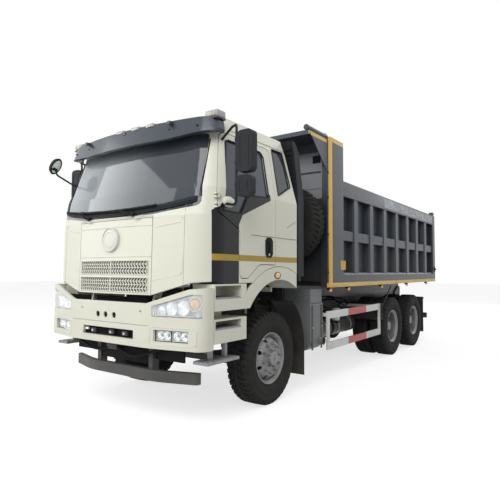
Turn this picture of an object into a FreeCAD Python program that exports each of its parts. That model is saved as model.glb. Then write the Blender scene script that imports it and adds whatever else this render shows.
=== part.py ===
import FreeCAD, Part
import math
import os
import Sketcher

# A three axle dump truck with a cab over its engine. Millimetres, +Z up, -Y ahead, X = 0 on the middle.

vector = FreeCAD.Vector
doc = FreeCAD.newDocument("DumpTruck")
sheet = doc.addObject("Spreadsheet::Sheet", "Sizes")

SIZES = {
    # Layout, with every place along the truck counted from the front axle
    "front_axle_y": -2872.5,
    "wheelbase": 4100,
    "bogie_spacing": 1350,
    "gap": 6,
    "seat_gap": 0.3,
    "bearing_gap": 0.8,
    # Tyres and rims
    "tyre_radius": 540,
    "tyre_width": 300,
    "tyre_shoulder": 118,
    "tyre_bulge_radius": 400,
    "rim_radius": 300,
    "rim_width": 240,
    "rim_depth": 24,
    "rim_wall": 16,
    "front_wheel_x": 1000,
    "outer_wheel_x": 1090,
    "inner_wheel_x": 750,
    "stud_circle": 168,
    "hand_hole_circle": 226,
    "hand_hole_radius": 24,
    "hub_radius": 112,
    "front_hub_end": 1178,
    "rear_hub_end": 1150,
    "spindle_radius": 45,
    "drum_radius": 205,
    # Frame
    "rail_outer": 460,
    "rail_width": 80,
    "rail_wall": 12,
    "rail_top": 1080,
    "rail_height": 280,
    "rail_front": -1250,
    "rail_rear": 6690,
    "cross_width": 60,
    "cross_height": 200,
    "cross_wall": 10,
    "jaw_reach": 60,
    "tow_pin_bore": 22,
    # Front axle and steering
    "kingpin_x": 870,
    "kingpin_radius": 20,
    "kingpin_boss": 46,
    "beam_top": 500,
    "beam_height": 90,
    "beam_width": 90,
    # Springs and rear axles
    "spring_x": 420,
    "spring_width": 70,
    "spring_thickness": 60,
    "front_spring_reach": 600,
    "housing_radius": 75,
    "diff_radius": 175,
    # Bumper
    "bumper_bottom": 800,
    "bumper_top_middle": 1240,
    "bumper_top_corner": 1400,
    "bumper_front": -1480,
    "bumper_corner": -1355,
    "bumper_bend": 120,
    "bumper_sweep": 900,
    "bumper_rear": -1196,
    "bumper_half": 1245,
    "bumper_wall": 30,
    "lamp_inner_x": 673,
    "lamp_bottom": 1114,
    "lamp_top_inner": 1215,
    "lamp_top_outer": 1335,
    "fog_inner_x": 695,
    "fog_outer_x": 1088,
    "fog_bottom": 873,
    "fog_top": 986,
    "slot_half": 417,
    "slot_bottom": 870,
    "slot_top": 960,
    "tow_hole_radius": 32,
    "tow_hole_z": 1097,
    # Underrun bar
    "underrun_half": 993,
    "underrun_bottom": 425,
    "underrun_top": 540,
    "underrun_front": -1290,
    "underrun_end": -1150,
    "underrun_depth": 60,
    # Cab
    "cab_half": 1245,
    "cab_roof_half": 1105,
    "cab_bottom": 1440,
    "cab_skirt": 1462,
    "cab_sill": 2120,
    "cab_waist": 2400,
    "cab_brow": 3000,
    "cab_roof": 3195,
    "cab_rear": 400,
    "cab_rear_top": 270,
    "cab_front": -1456,
    "cab_wall": 40,
    "cab_pivot_y": -1310,
    "cab_pivot_z": 1095,
    "cab_pin_radius": 20,
    "lid_half": 600,
    "lid_bottom": 1316,
    "lid_top": 2118,
    "lid_wall": 30,
    "lid_pin_radius": 5,
    "screen_half": 1090,
    "screen_bottom": 2175,
    "screen_top": 2990,
    "glass_wall": 8,
    "column_radius": 22,
    "door_front_low": -780,
    "door_front_high": -1122,
    "door_step_z": 2150,
    "door_front_top": -965,
    "door_rear": -100,
    "door_bottom": 1492,
    "door_top": 3000,
    "door_gap": 8,
    "window_front": -925,
    "window_rear": -235,
    "window_sill": 2375,
    "window_drop": 2165,
    "window_head": 2935,
    "hinge_x": 1240,
    "hinge_z": 2188,
    "hinge_spread": 100,
    "hinge_barrel": 11,
    "hinge_pin": 5,
    "knuckle_height": 16,
    # Fenders and steps
    "arch_z": 710,
    "arch_radius": 755,
    "arch_rear": 395,
    "fender_inner_x": 860,
    "step_front": -1188,
    "step_rear": -662,
    "step_inner_x": 960,
    "step_depth_x": 250,
    "upper_step_z": 1285,
    "upper_step_bottom": 1170,
    "lower_step_top": 1090,
    "lower_step_z": 985,
    "lower_step_bottom": 855,
    "hanging_step_z": 660,
    "tread_thickness": 30,
    # Engine and drive
    "engine_half": 340,
    "engine_front": -950,
    "engine_rear": 450,
    "engine_bottom": 640,
    "engine_top": 1340,
    "gearbox_radius": 170,
    "shaft_radius": 50,
    # Silencer, tanks, guards
    "silencer_outer": 1150,
    "silencer_inner": 620,
    "silencer_front": 930,
    "silencer_rear": 1300,
    "silencer_bottom": 477,
    "silencer_top": 1128,
    "bottle_radius": 140,
    "tank_radius": 300,
    "tank_x": 815,
    "guard_x": 1200,
    "guard_front": 1362,
    "guard_rear": 3470,
    "guard_rail_height": 105,
    "guard_rail_width": 30,
    "guard_low": 455,
    "guard_high": 893,
    # Spare wheel and intake
    "spare_x": 690,
    "spare_y": 1100,
    "spare_z": 2250,
    "snorkel_inner_x": 1085,
    "snorkel_outer_x": 1232,
    # Load body
    "bed_half": 1250,
    "bed_front": 1352,
    "bed_rear": 7150,
    "bed_bottom": 1339,
    "bed_floor_top": 1440,
    "bed_rail_top": 2926,
    "bed_rail_bottom": 2700,
    "bed_head_top": 3500,
    "bed_head_rear": 1800,
    "bed_skin_x": 1130,
    "bed_skin_wall": 10,
    "bed_sill_top": 1550,
    "bed_mid_bottom": 2035,
    "bed_mid_top": 2185,
    "rib_width": 185,
    "rib_count": 7,
    "rib_first": 2215,
    "rib_pitch": 675,
    "rib_inset": 12,
    "bed_post_front": 6965,
    "bed_wall": 60,
    "canopy_front": 770,
    "canopy_top": 3460,
    "canopy_half": 1222,
    "canopy_wall": 12,
    "bed_pivot_y": 6750,
    "bed_pivot_z": 1160,
    "bed_pin_radius": 35,
    "tailgate_wall": 60,
    "tailgate_pivot_z": 2985,
    "gate_pin_radius": 16,
    "tailgate_rear": 7215,
    # Hoist
    "hoist_y": 900,
    "hoist_low_z": 780,
    "hoist_pin_z": 2350,
    "hoist_radius": 105,
    "trunnion_radius": 35,
    "hoist_step": 15,
    "hoist_wall": 10,
    "gland_height": 40,
    "hoist_ear_gap": 65,
}


class Size:
    """A number that also carries its expression in the sheet."""

    def __init__(self, value, text):
        self.value = value
        self.text = text

    def __add__(self, other):
        return joined(self, "+", other, self.value + number(other))

    def __radd__(self, other):
        return joined(other, "+", self, number(other) + self.value)

    def __sub__(self, other):
        return joined(self, "-", other, self.value - number(other))

    def __rsub__(self, other):
        return joined(other, "-", self, number(other) - self.value)

    def __mul__(self, other):
        return joined(self, "*", other, self.value * number(other))

    def __rmul__(self, other):
        return joined(other, "*", self, number(other) * self.value)

    def __truediv__(self, other):
        return joined(self, "/", other, self.value / number(other))

    def __neg__(self):
        return Size(-self.value, "(0 - %s)" % self.text)


def number(item):
    return item.value if isinstance(item, Size) else float(item)


def text_of(item):
    return item.text if isinstance(item, Size) else "(%r)" % float(item)


def joined(first, sign, second, value):
    return Size(value, "(%s %s %s)" % (text_of(first), sign, text_of(second)))


class Sheet:
    """The sheet's sizes, read by name."""

    def __init__(self):
        for row, (alias, value) in enumerate(SIZES.items(), start=1):
            sheet.set("A%d" % row, alias)
            sheet.set("B%d" % row, str(value))
            sheet.setAlias("B%d" % row, alias)
        doc.recompute()

    def __getattr__(self, alias):
        return Size(float(SIZES[alias]), "Sizes." + alias)


s = Sheet()
NODES = []
TURN_TO_X = FreeCAD.Rotation(vector(0, 1, 0), 90)
TURN_TO_Y = FreeCAD.Rotation(vector(1, 0, 0), -90)
PLANES = {
    "x": FreeCAD.Rotation(vector(0, 1, 0), vector(0, 0, 1), vector(1, 0, 0), "XYZ"),
    "y": FreeCAD.Rotation(vector(1, 0, 0), vector(0, 0, 1), vector(0, -1, 0), "XYZ"),
    "z": FreeCAD.Rotation(),
}
AXES = {"x": vector(1, 0, 0), "y": vector(0, 1, 0), "z": vector(0, 0, 1)}


def behind(distance):
    """The place along the truck of a distance behind the front axle."""
    return s.front_axle_y + distance


def bind(item, name, size):
    """Set a property from a size, and keep it tied to the sheet."""
    if isinstance(size, Size):
        item.setExpression(name, size.text)
    else:
        item.setExpression(name, "%r" % float(size))


def place(item, point):
    for axis, size in zip("xyz", point):
        bind(item, "Placement.Base." + axis, size)
    return item


def box(x, y, z):
    """A block between a low and a high face on each axis."""
    block = doc.addObject("Part::Box", "Block")
    for side, (low, high) in zip(("Length", "Width", "Height"), (x, y, z)):
        bind(block, side, high - low)
    return place(block, (x[0], y[0], z[0]))


def axis_point(axis, centre, along):
    """A point from its place along one axis and its centre on the two others."""
    point = list(centre)
    point.insert("xyz".index(axis), along)
    return point


def rod(axis, centre, radius, span):
    """A round bar along an axis."""
    bar = doc.addObject("Part::Cylinder", "Rod")
    if axis == "x":
        bar.Placement.Rotation = TURN_TO_X
    if axis == "y":
        bar.Placement.Rotation = TURN_TO_Y
    bind(bar, "Radius", radius)
    bind(bar, "Height", span[1] - span[0])
    return place(bar, axis_point(axis, centre, span[0]))


def sketch_of(plane, outline):
    """A closed outline of straight lines on a plane, each corner tied to the sheet."""
    drawing = doc.addObject("Sketcher::SketchObject", "Outline")
    drawing.Placement.Rotation = PLANES[plane]
    corners = [vector(number(u), number(v), 0) for u, v in outline]
    lines = [Part.LineSegment(a, b) for a, b in zip(corners, corners[1:] + corners[:1])]
    drawing.addGeometry(lines, False)
    rules = []
    for index in range(len(lines)):
        rules.append(Sketcher.Constraint("Coincident", index, 2, (index + 1) % len(lines), 1))
    for index, corner in enumerate(corners):
        rules.append(Sketcher.Constraint("DistanceX", -1, 1, index, 1, corner.x))
        rules.append(Sketcher.Constraint("DistanceY", -1, 1, index, 1, corner.y))
    drawing.addConstraint(rules)
    for index, (u, v) in enumerate(outline):
        for shift, size in enumerate((u, v)):
            if isinstance(size, Size):
                drawing.setExpression("Constraints[%d]" % (len(lines) + 2 * index + shift), size.text)
    return drawing


def prism(axis, outline, span):
    """A straight sided outline carried along an axis."""
    drawing = sketch_of(axis, outline)
    low, high = span
    bind(drawing, "Placement.Base." + axis, low)
    solid = doc.addObject("Part::Extrusion", "Prism")
    solid.Base = drawing
    solid.DirMode = "Custom"
    solid.Dir = AXES[axis]
    solid.Solid = True
    bind(solid, "LengthFwd", high - low)
    return solid


def turned(outline, centre):
    """A ring about the X axis: its outline gives x and radius, its centre the wheel's middle."""
    drawing = sketch_of("y", outline)
    ring = doc.addObject("Part::Revolution", "Ring")
    ring.Source = drawing
    ring.Axis = AXES["x"]
    ring.Angle = 360
    ring.Solid = True
    return place(ring, centre)


def fuse(*pieces):
    if len(pieces) == 1:
        return pieces[0]
    whole = doc.addObject("Part::MultiFuse", "Fused")
    whole.Shapes = list(pieces)
    return whole


def group(*pieces):
    """Solids that don't touch, kept as one."""
    whole = doc.addObject("Part::Compound", "Group")
    whole.Links = list(pieces)
    return whole


def cut(base, *tools):
    rest = doc.addObject("Part::Cut", "Cut")
    rest.Base = base
    rest.Tool = fuse(*tools)
    return rest


def common(first, second):
    both = doc.addObject("Part::Common", "Common")
    both.Base = first
    both.Tool = second
    return both


def mirrored(piece):
    """The same piece on the other side of the truck."""
    other = doc.addObject("Part::Mirroring", "Mirrored")
    other.Source = piece
    other.Normal = AXES["x"]
    return other


def both_sides(piece):
    return group(piece, mirrored(piece))


def copied(piece, shift):
    """A linked copy of a piece, moved by sizes."""
    twin = doc.addObject("Part::Compound", "Copy")
    twin.Links = [piece]
    return place(twin, shift)


def solid_of(shape):
    """A shape worked out with the kernel, where no primitive fits."""
    feature = doc.addObject("Part::Feature", "Shaped")
    feature.Shape = shape
    return feature


def rounded_wire(axis, outline, at):
    """A closed outline whose corners may carry a radius as their third number."""
    corners = [vector(number(c[0]), number(c[1]), 0) for c in outline]
    radii = [number(c[2]) if len(c) > 2 else 0.0 for c in outline]
    count = len(corners)
    entries = []
    for index in range(count):
        here = corners[index]
        back = (corners[index - 1] - here).normalize()
        ahead = (corners[(index + 1) % count] - here).normalize()
        radius = radii[index]
        if radius == 0.0:
            entries.append((here, None, here))
            continue
        half = back.getAngle(ahead) / 2
        reach = radius / math.tan(half)
        middle = (back + ahead).normalize()
        crown = here + middle * (radius / math.sin(half) - radius)
        entries.append((here + back * reach, crown, here + ahead * reach))
    edges = []
    for index in range(count):
        start, crown, end = entries[index]
        if crown is not None:
            edges.append(Part.Arc(start, crown, end).toShape())
        following = entries[(index + 1) % count][0]
        if end.distanceToPoint(following) > 1e-4:
            edges.append(Part.LineSegment(end, following).toShape())
    wire = Part.Wire(edges)
    wire.Placement = FreeCAD.Placement(AXES[axis] * number(at), PLANES[axis])
    return wire


def rounded(axis, outline, span):
    """A round cornered outline carried along an axis."""
    face = Part.Face(rounded_wire(axis, outline, span[0]))
    return solid_of(face.extrude(AXES[axis] * (number(span[1]) - number(span[0]))))


def swept(points, radius, bend):
    """A round tube along straight runs joined by tangent arcs."""
    places = [vector(*[number(c) for c in point]) for point in points]
    edges = []
    start = places[0]
    for before, here, after in zip(places, places[1:], places[2:]):
        back = (before - here).normalize()
        ahead = (after - here).normalize()
        half = back.getAngle(ahead) / 2
        reach = bend / math.tan(half)
        crown = here + (back + ahead).normalize() * (bend / math.sin(half) - bend)
        first = here + back * reach
        last = here + ahead * reach
        edges.append(Part.LineSegment(start, first).toShape())
        edges.append(Part.Arc(first, crown, last).toShape())
        start = last
    edges.append(Part.LineSegment(start, places[-1]).toShape())
    path = Part.Wire(edges)
    heading = places[1] - places[0]
    ring = Part.Wire(Part.makeCircle(number(radius), places[0], heading))
    return solid_of(path.makePipeShell([ring], True, False))


def node(name, piece):
    piece.Label = name
    NODES.append(piece)
    return piece


# Wheels

def tyre(x, y, z):
    """A tyre about its own middle: bead, bulging wall, shoulder and tread."""
    bead = s.rim_radius + s.seat_gap
    half = s.tyre_width / 2
    wall = s.rim_width / 2 - 15
    outline = [
        (-wall, bead),
        (-half, s.tyre_bulge_radius),
        (-half + 8, s.tyre_radius - 50),
        (-s.tyre_shoulder, s.tyre_radius),
        (s.tyre_shoulder, s.tyre_radius),
        (half - 8, s.tyre_radius - 50),
        (half, s.tyre_bulge_radius),
        (wall, bead),
    ]
    return turned(outline, (x, y, z))


def rim_band(x, y, z):
    """The drop centre band of a rim with its two flanges."""
    half = s.rim_width / 2
    outer = s.rim_radius
    low = s.rim_radius - s.rim_depth
    inner = low - s.rim_wall
    outline = [
        (-half, outer),
        (-half + 14, outer),
        (-half + 32, low),
        (half - 32, low),
        (half - 14, outer),
        (half, outer),
        (half, outer - 12),
        (half - 36, inner),
        (-half + 36, inner),
        (-half, outer - 12),
    ]
    return turned(outline, (x, y, z))


def hand_holes(x, y, z, depth):
    """The ring of ventilation holes through a wheel's disc."""
    holes = []
    count = 8
    for index in range(count):
        angle = 2 * math.pi * (index + 0.5) / count
        centre = (y + s.hand_hole_circle * math.cos(angle), z + s.hand_hole_circle * math.sin(angle))
        holes.append(rod("x", centre, s.hand_hole_radius, (x - depth, x + depth)))
    return holes


def disc(face, lip, y, z):
    """A dished disc from the mounting face out to the band."""
    inner = s.rim_radius - s.rim_depth - s.rim_wall
    wall = s.rim_wall
    outline = [
        (lip, inner + 2),
        (lip + wall, inner + 2),
        (lip * 0.45 + face * 0.55 + wall, s.stud_circle + 62),
        (face + wall, s.stud_circle + 34),
        (face + wall, s.hub_radius - 20),
        (face, s.hub_radius - 20),
        (face, s.stud_circle + 34),
        (lip * 0.45 + face * 0.55, s.stud_circle + 62),
    ]
    return turned(outline, (0, y, z))


def hub(start, end, y, z):
    """A hub with its end cap, bored for the spindle."""
    bore = s.spindle_radius + s.bearing_gap
    outline = [
        (start, bore),
        (start, s.hub_radius),
        (end - 50, s.hub_radius),
        (end - 44, s.hub_radius - 22),
        (end - 6, s.hub_radius - 30),
        (end, s.hub_radius - 40),
        (end, 8),
        (end - 12, 8),
        (end - 12, bore),
    ]
    return turned(outline, (0, y, z))


def drum(low, high, y, z):
    """A brake drum, open towards the middle of the truck."""
    bore = s.spindle_radius + s.bearing_gap
    outline = [
        (low, s.drum_radius - 14),
        (low, s.drum_radius),
        (high, s.drum_radius),
        (high, bore),
        (high - 14, bore),
        (high - 14, s.drum_radius - 14),
    ]
    return turned(outline, (0, y, z))


def front_rim(y, z):
    x = s.front_wheel_x
    face = x + 112
    band = rim_band(x, y, z)
    plate = disc(face, x + 45, y, z)
    holes = hand_holes(face - 20, y, z, 80)
    return fuse(band, cut(plate, *holes), hub(x + 30, s.front_hub_end, y, z), drum(x - 95, x + 44, y, z))


def rear_rims(y, z):
    """Two bands back to back on one hub."""
    outer = s.outer_wheel_x
    inner = s.inner_wheel_x
    middle = (outer + inner) / 2
    outer_disc = disc(middle, outer - 75, y, z)
    inner_disc = disc(middle - s.rim_wall, inner + 60, y, z)
    holes = hand_holes(outer - 110, y, z, 70)
    bands = (rim_band(outer, y, z), rim_band(inner, y, z))
    centre = hub(inner - 20, s.rear_hub_end, y, z)
    return fuse(*bands, cut(outer_disc, *holes), inner_disc, centre, drum(inner - 110, inner - 8, y, z))


def build_wheels():
    z = s.tyre_radius
    front = behind(0)
    left_tyre = tyre(s.front_wheel_x, front, z)
    left_rim = front_rim(front, z)
    node("tyre_front_left", left_tyre)
    node("rim_front_left", left_rim)
    node("tyre_front_right", mirrored(left_tyre))
    node("rim_front_right", mirrored(left_rim))
    for number_name, offset in (("1", 0), ("2", s.bogie_spacing)):
        y = behind(s.wheelbase) + offset
        pair = group(tyre(s.outer_wheel_x, y, z), tyre(s.inner_wheel_x, y, z))
        rims = rear_rims(y, z)
        node("tyres_rear_%s_left" % number_name, pair)
        node("rims_rear_%s_left" % number_name, rims)
        node("tyres_rear_%s_right" % number_name, mirrored(pair))
        node("rims_rear_%s_right" % number_name, mirrored(rims))


# Frame, axles and drive

def rail():
    outer = s.rail_outer
    inner = outer - s.rail_width
    low = s.rail_top - s.rail_height
    span = (behind(s.rail_front), behind(s.rail_rear))
    web = box((inner, outer), span, (low, s.rail_top))
    pocket = box((inner, outer - s.rail_wall), span, (low + s.rail_wall, s.rail_top - s.rail_wall))
    return cut(web, pocket)


def crossmember(y):
    """A channel between the rails' webs, open to the rear."""
    half = s.rail_outer - s.rail_wall
    top = s.rail_top - 40
    low = top - s.cross_height
    wall = s.cross_wall
    front = y - s.cross_width / 2
    channel = box((-half, half), (front, front + s.cross_width), (low, top))
    pocket = box((-half, half), (front + wall, front + s.cross_width + 5), (low + wall, top - wall))
    return cut(channel, pocket)


def spring_hangers():
    """Brackets under the rail that hold the springs."""
    low = s.rail_top - s.rail_height
    spring_top = low - 60
    x = (s.spring_x - 40, s.spring_x + 40)
    blocks = []
    for sign in (-1, 1):
        middle = behind(0) + sign * (s.front_spring_reach - 40)
        blocks.append(box(x, (middle - 40, middle + 40), (spring_top, low)))
    bogie = behind(s.wheelbase + s.bogie_spacing / 2)
    blocks.append(box(x, (bogie - 90, bogie + 90), (low - 40, low)))
    return blocks


def cab_pivot_bracket():
    """A plate ahead of the rail with the bore of the cab's pivot pin."""
    y = behind(s.cab_pivot_y)
    z = s.cab_pivot_z
    plate = prism(
        "x",
        [
            (behind(s.rail_front), s.rail_top - 180),
            (behind(s.rail_front) + 130, s.rail_top - 60),
            (behind(s.rail_front) + 130, s.rail_top),
            (behind(s.rail_front), z + 40),
            (y - 45, z + 40),
            (y - 45, z - 40),
        ],
        (s.rail_outer, s.rail_outer + 30),
    )
    return cut(plate, rod("x", (y, z), s.cab_pin_radius + s.bearing_gap, (s.rail_outer - 5, s.rail_outer + 40)))


def bumper_bracket():
    """The arm from the rail's end to the back of the bumper."""
    front = behind(s.bumper_front) + s.bumper_wall + s.seat_gap
    low = s.rail_top - 80
    return box((s.rail_outer - 20, s.rail_outer), (front, behind(s.rail_front)), (low, low + 70))


def cab_rear_rest():
    """The arch behind the engine that the cab's rear edge sits on."""
    front = behind(s.engine_rear) - 160
    rear = front + 70
    top = s.cab_bottom - s.gap
    post = box((s.rail_outer - 60, s.rail_outer), (front, rear), (s.rail_top, top - 40))
    bar = box((-s.rail_outer - 160, s.rail_outer + 160), (front, rear), (top - 60, top))
    return fuse(post, mirrored(post), bar)


def hoist_cradle():
    """Two plates between two cross tubes that carry the hoist's trunnion."""
    y = behind(s.hoist_y)
    z = s.hoist_low_z
    inner = s.hoist_radius + 15
    reach = 230
    plate = prism(
        "x",
        [
            (y - reach, z + 100),
            (y - reach, z + 20),
            (y - 80, z - 90),
            (y + 80, z - 90),
            (y + reach, z + 20),
            (y + reach, z + 100),
        ],
        (inner, inner + 30),
    )
    plate = cut(plate, rod("x", (y, z), s.trunnion_radius + s.bearing_gap, (inner - 5, inner + 40)))
    tubes = []
    for sign in (-1, 1):
        middle = y + sign * (reach + 30)
        half = s.rail_outer - s.rail_wall
        tubes.append(box((-half, half), (middle - 30, middle + 30), (z + 40, z + 160)))
    return fuse(plate, mirrored(plate), *tubes)


def bed_pivot_bracket():
    """The plate at the frame's end with the bore of the load body's pivot pin."""
    y = behind(s.bed_pivot_y)
    z = s.bed_pivot_z
    top = z + 60
    plate = prism(
        "x",
        [
            (behind(s.rail_rear) - 260, s.rail_top - 160),
            (y + 60, s.rail_top - 120),
            (y + 70, z),
            (y + 40, top),
            (y - 60, top),
            (behind(s.rail_rear) - 260, s.rail_top),
        ],
        (s.rail_outer, s.rail_outer + 30),
    )
    return cut(plate, rod("x", (y, z), s.bed_pin_radius + s.bearing_gap, (s.rail_outer - 5, s.rail_outer + 40)))


def tow_beam():
    """The last crossmember: a plate with two flat jaws, bored for an upright tow pin."""
    half = s.rail_outer - s.rail_wall
    y = behind(s.rail_rear) - 30
    z = s.rail_top - 140
    plate = box((-half, half), (y - s.cross_wall, y), (z - s.cross_height / 2, z + s.cross_height / 2))
    jaws = []
    for low in (z - 60, z + 30):
        jaws.append(box((-70, 70), (y, y + s.jaw_reach + 50), (low, low + 30)))
    bore = rod("z", (0, y + s.jaw_reach), s.tow_pin_bore, (z - 70, z + 70))
    return cut(fuse(plate, *jaws), bore)


def build_frame():
    """Two rails with their brackets, and what stands between them."""
    side = fuse(rail(), *spring_hangers(), bumper_bracket(), cab_pivot_bracket(), bed_pivot_bracket())
    node("rail_left", side)
    node("rail_right", mirrored(side))
    places = [-1100, 1600, 2500, 3400, s.wheelbase + s.bogie_spacing / 2, 6100]
    node("crossmembers", group(*[crossmember(behind(place_y)) for place_y in places]))
    node("tow_beam", tow_beam())
    node("cab_rest", cab_rear_rest())
    node("hoist_cradle", hoist_cradle())


def spring(y, reach, crown_low, end_low, seat):
    """A leaf pack: a shallow arc with the seat that joins it to its axle."""
    x = s.spring_x - s.spring_width / 2
    thick = number(s.spring_thickness)
    mid = number(y)
    low = number(crown_low)
    end = number(end_low)
    far = number(reach)
    start_low = vector(number(x), mid - far, end)
    top_rise = 0.7 * thick
    lower = Part.Arc(start_low, vector(number(x), mid, low), vector(number(x), mid + far, end)).toShape()
    upper = Part.Arc(
        vector(number(x), mid + far, end + top_rise),
        vector(number(x), mid, low + thick),
        vector(number(x), mid - far, end + top_rise),
    ).toShape()
    sides = [
        Part.LineSegment(vector(number(x), mid + far, end), vector(number(x), mid + far, end + top_rise)).toShape(),
        Part.LineSegment(vector(number(x), mid - far, end + top_rise), start_low).toShape(),
    ]
    face = Part.Face(Part.Wire([lower, sides[0], upper, sides[1]]))
    leaf = solid_of(face.extrude(vector(number(s.spring_width), 0, 0)))
    return fuse(leaf, *seat)


def build_springs():
    half = s.spring_width / 2 + 10
    x = (s.spring_x - half, s.spring_x + half)
    low = s.rail_top - s.rail_height
    front = behind(0)
    pad = box(x, (front - 70, front + 70), (s.beam_top, s.beam_top + 20))
    top_rise = s.spring_thickness * 0.7
    end_low = low - 60 - top_rise
    fore = spring(front, s.front_spring_reach, s.beam_top + 12, end_low, [pad])
    bogie = behind(s.wheelbase + s.bogie_spacing / 2)
    axle_top = s.tyre_radius + s.housing_radius
    seats = []
    for sign in (-1, 1):
        middle = bogie + sign * s.bogie_spacing / 2
        seats.append(box(x, (middle - 60, middle + 60), (axle_top - 6, axle_top + 30)))
    saddle = box(x, (bogie - 80, bogie + 80), (low - 60, low - 40))
    aft = spring(bogie, s.bogie_spacing / 2 + 60, low - 40 - s.spring_thickness - 12, axle_top + 8, seats + [saddle])
    node("leaf_springs", both_sides(group(cut(fore, axle_clear()), cut(aft, *rear_housings_clear()))))


def axle_clear():
    """The space of the front beam, kept out of its spring seat."""
    return box((0, s.kingpin_x), (behind(-100), behind(100)), (s.beam_top - 60, s.beam_top))


def rear_housings_clear():
    spaces = []
    for offset in (0, s.bogie_spacing):
        centre = (behind(s.wheelbase) + offset, s.tyre_radius)
        spaces.append(rod("x", centre, s.housing_radius + s.seat_gap, (0, s.inner_wheel_x)))
    return spaces


def build_front_axle():
    top = s.beam_top
    low = top - s.beam_height
    king = s.kingpin_x
    boss_low = s.tyre_radius - s.kingpin_boss
    boss_top = s.tyre_radius + s.kingpin_boss
    half = s.beam_width / 2
    outline = [
        (0, low),
        (king - 240, low),
        (king - 130, boss_low),
        (king - 20, boss_low),
        (king - 20, boss_top),
        (king - 150, boss_top),
        (king - 250, top),
        (0, top),
    ]
    arm = prism("y", outline, (behind(0) - half, behind(0) + half))
    boss = rod("z", (king, behind(0)), s.kingpin_boss, (boss_low, boss_top))
    side = cut(fuse(arm, boss), rod("z", (king, behind(0)), s.kingpin_radius + s.bearing_gap, (boss_low - 5, boss_top + 5)))
    node("front_axle", fuse(side, mirrored(side)))


def build_knuckles():
    """A fork on the kingpin, with the spindle that carries the wheel."""
    king = s.kingpin_x
    y = behind(0)
    z = s.tyre_radius
    reach = s.kingpin_boss + s.gap
    fork_end = king + s.kingpin_boss + 12
    plate_end = fork_end + 20
    half = s.kingpin_boss
    arms = []
    for low, high in ((z + reach, z + reach + 34), (z - reach - 34, z - reach)):
        arms.append(box((king, plate_end), (y - half, y + half), (low, high)))
        arms.append(rod("z", (king, y), half, (low, high)))
    plate = box((fork_end, plate_end), (y - half - 20, y + half + 20), (z - reach - 34, z + reach + 34))
    pin = rod("z", (king, y), s.kingpin_radius, (z - reach - 34, z + reach + 34))
    spindle = rod("x", (y, z), s.spindle_radius, (fork_end, s.front_hub_end - 30))
    left = fuse(*arms, plate, pin, spindle)
    node("knuckle_left", left)
    node("knuckle_right", mirrored(left))


def build_rear_axles():
    """Two driven axles: a housing tube with its final drive and spindle ends."""
    axles = []
    z = s.tyre_radius
    for offset in (0, s.bogie_spacing):
        y = behind(s.wheelbase) + offset
        reach = s.inner_wheel_x - s.rim_width / 2 - 10
        tube = rod("x", (y, z), s.housing_radius, (-reach, reach))
        spindles = rod("x", (y, z), s.spindle_radius, (-s.rear_hub_end + 30, s.rear_hub_end - 30))
        bowl = rod("y", (0, z), s.diff_radius, (y - 130, y + 120))
        nose = rod("y", (0, z), s.gearbox_radius / 2, (y - 260, y - 130))
        axles.append(fuse(tube, spindles, bowl, nose))
    node("rear_axles", group(*axles))


def build_drive():
    half = s.engine_half
    engine_box = box((-half, half), (behind(s.engine_front), behind(s.engine_rear) - 180), (s.engine_bottom, s.engine_top))
    node("engine", engine_box)
    z = s.tyre_radius
    start = behind(s.engine_rear) - 180
    gearbox_end = start + 320
    gearbox = rod("y", (0, z + 260), s.gearbox_radius, (start, gearbox_end))
    drop = box((-70, 70), (gearbox_end - 60, gearbox_end), (z - 60, z + 200))
    first = rod("y", (0, z), s.shaft_radius, (gearbox_end, behind(s.wheelbase) - 260))
    link = rod("y", (0, z), s.shaft_radius, (behind(s.wheelbase) + 120, behind(s.wheelbase) + s.bogie_spacing - 260))
    node("driveline", group(fuse(gearbox, drop, first), link))


# Bumper, lamps and front bar

def bumper_plan(inset, longer):
    """The bumper's outline seen from above, moved inwards by an inset and longer at its back."""
    half = s.bumper_half - inset
    front = behind(s.bumper_front) + inset
    corner = behind(s.bumper_corner) + inset
    rear = behind(s.bumper_rear) + longer
    bend = s.bumper_bend - inset
    sweep = s.bumper_sweep - inset
    return [
        (-half, rear),
        (-half, corner, bend),
        (-s.bumper_half * 0.5, front, sweep),
        (s.bumper_half * 0.5, front, sweep),
        (half, corner, bend),
        (half, rear),
    ]


def bumper_band(outer_inset, wall):
    span = (s.bumper_bottom, s.bumper_top_corner)
    deeper = (s.bumper_bottom - 20, s.bumper_top_corner + 20)
    outer = rounded("z", bumper_plan(outer_inset, 0), span)
    inner = rounded("z", bumper_plan(outer_inset + wall, 20), deeper)
    return cut(outer, inner)


def lamp_opening(grow):
    """The wedge shaped place of one headlamp, seen from the front."""
    outline = [
        (s.lamp_inner_x - grow, s.lamp_bottom - grow),
        (s.bumper_half - 28 + grow, s.lamp_bottom - grow),
        (s.bumper_half - 28 + grow, s.lamp_top_outer + grow),
        (s.bumper_half - 140, s.lamp_top_outer + grow),
        (s.lamp_inner_x - grow, s.lamp_top_inner + grow),
    ]
    return prism("y", outline, (behind(s.bumper_front) - 20, behind(s.bumper_rear) - 60))


def fog_opening(grow):
    x = (s.fog_inner_x - grow, s.fog_outer_x + grow)
    z = (s.fog_bottom - grow, s.fog_top + grow)
    return box(x, (behind(s.bumper_front) - 20, behind(s.bumper_rear) - 100), z)


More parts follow.
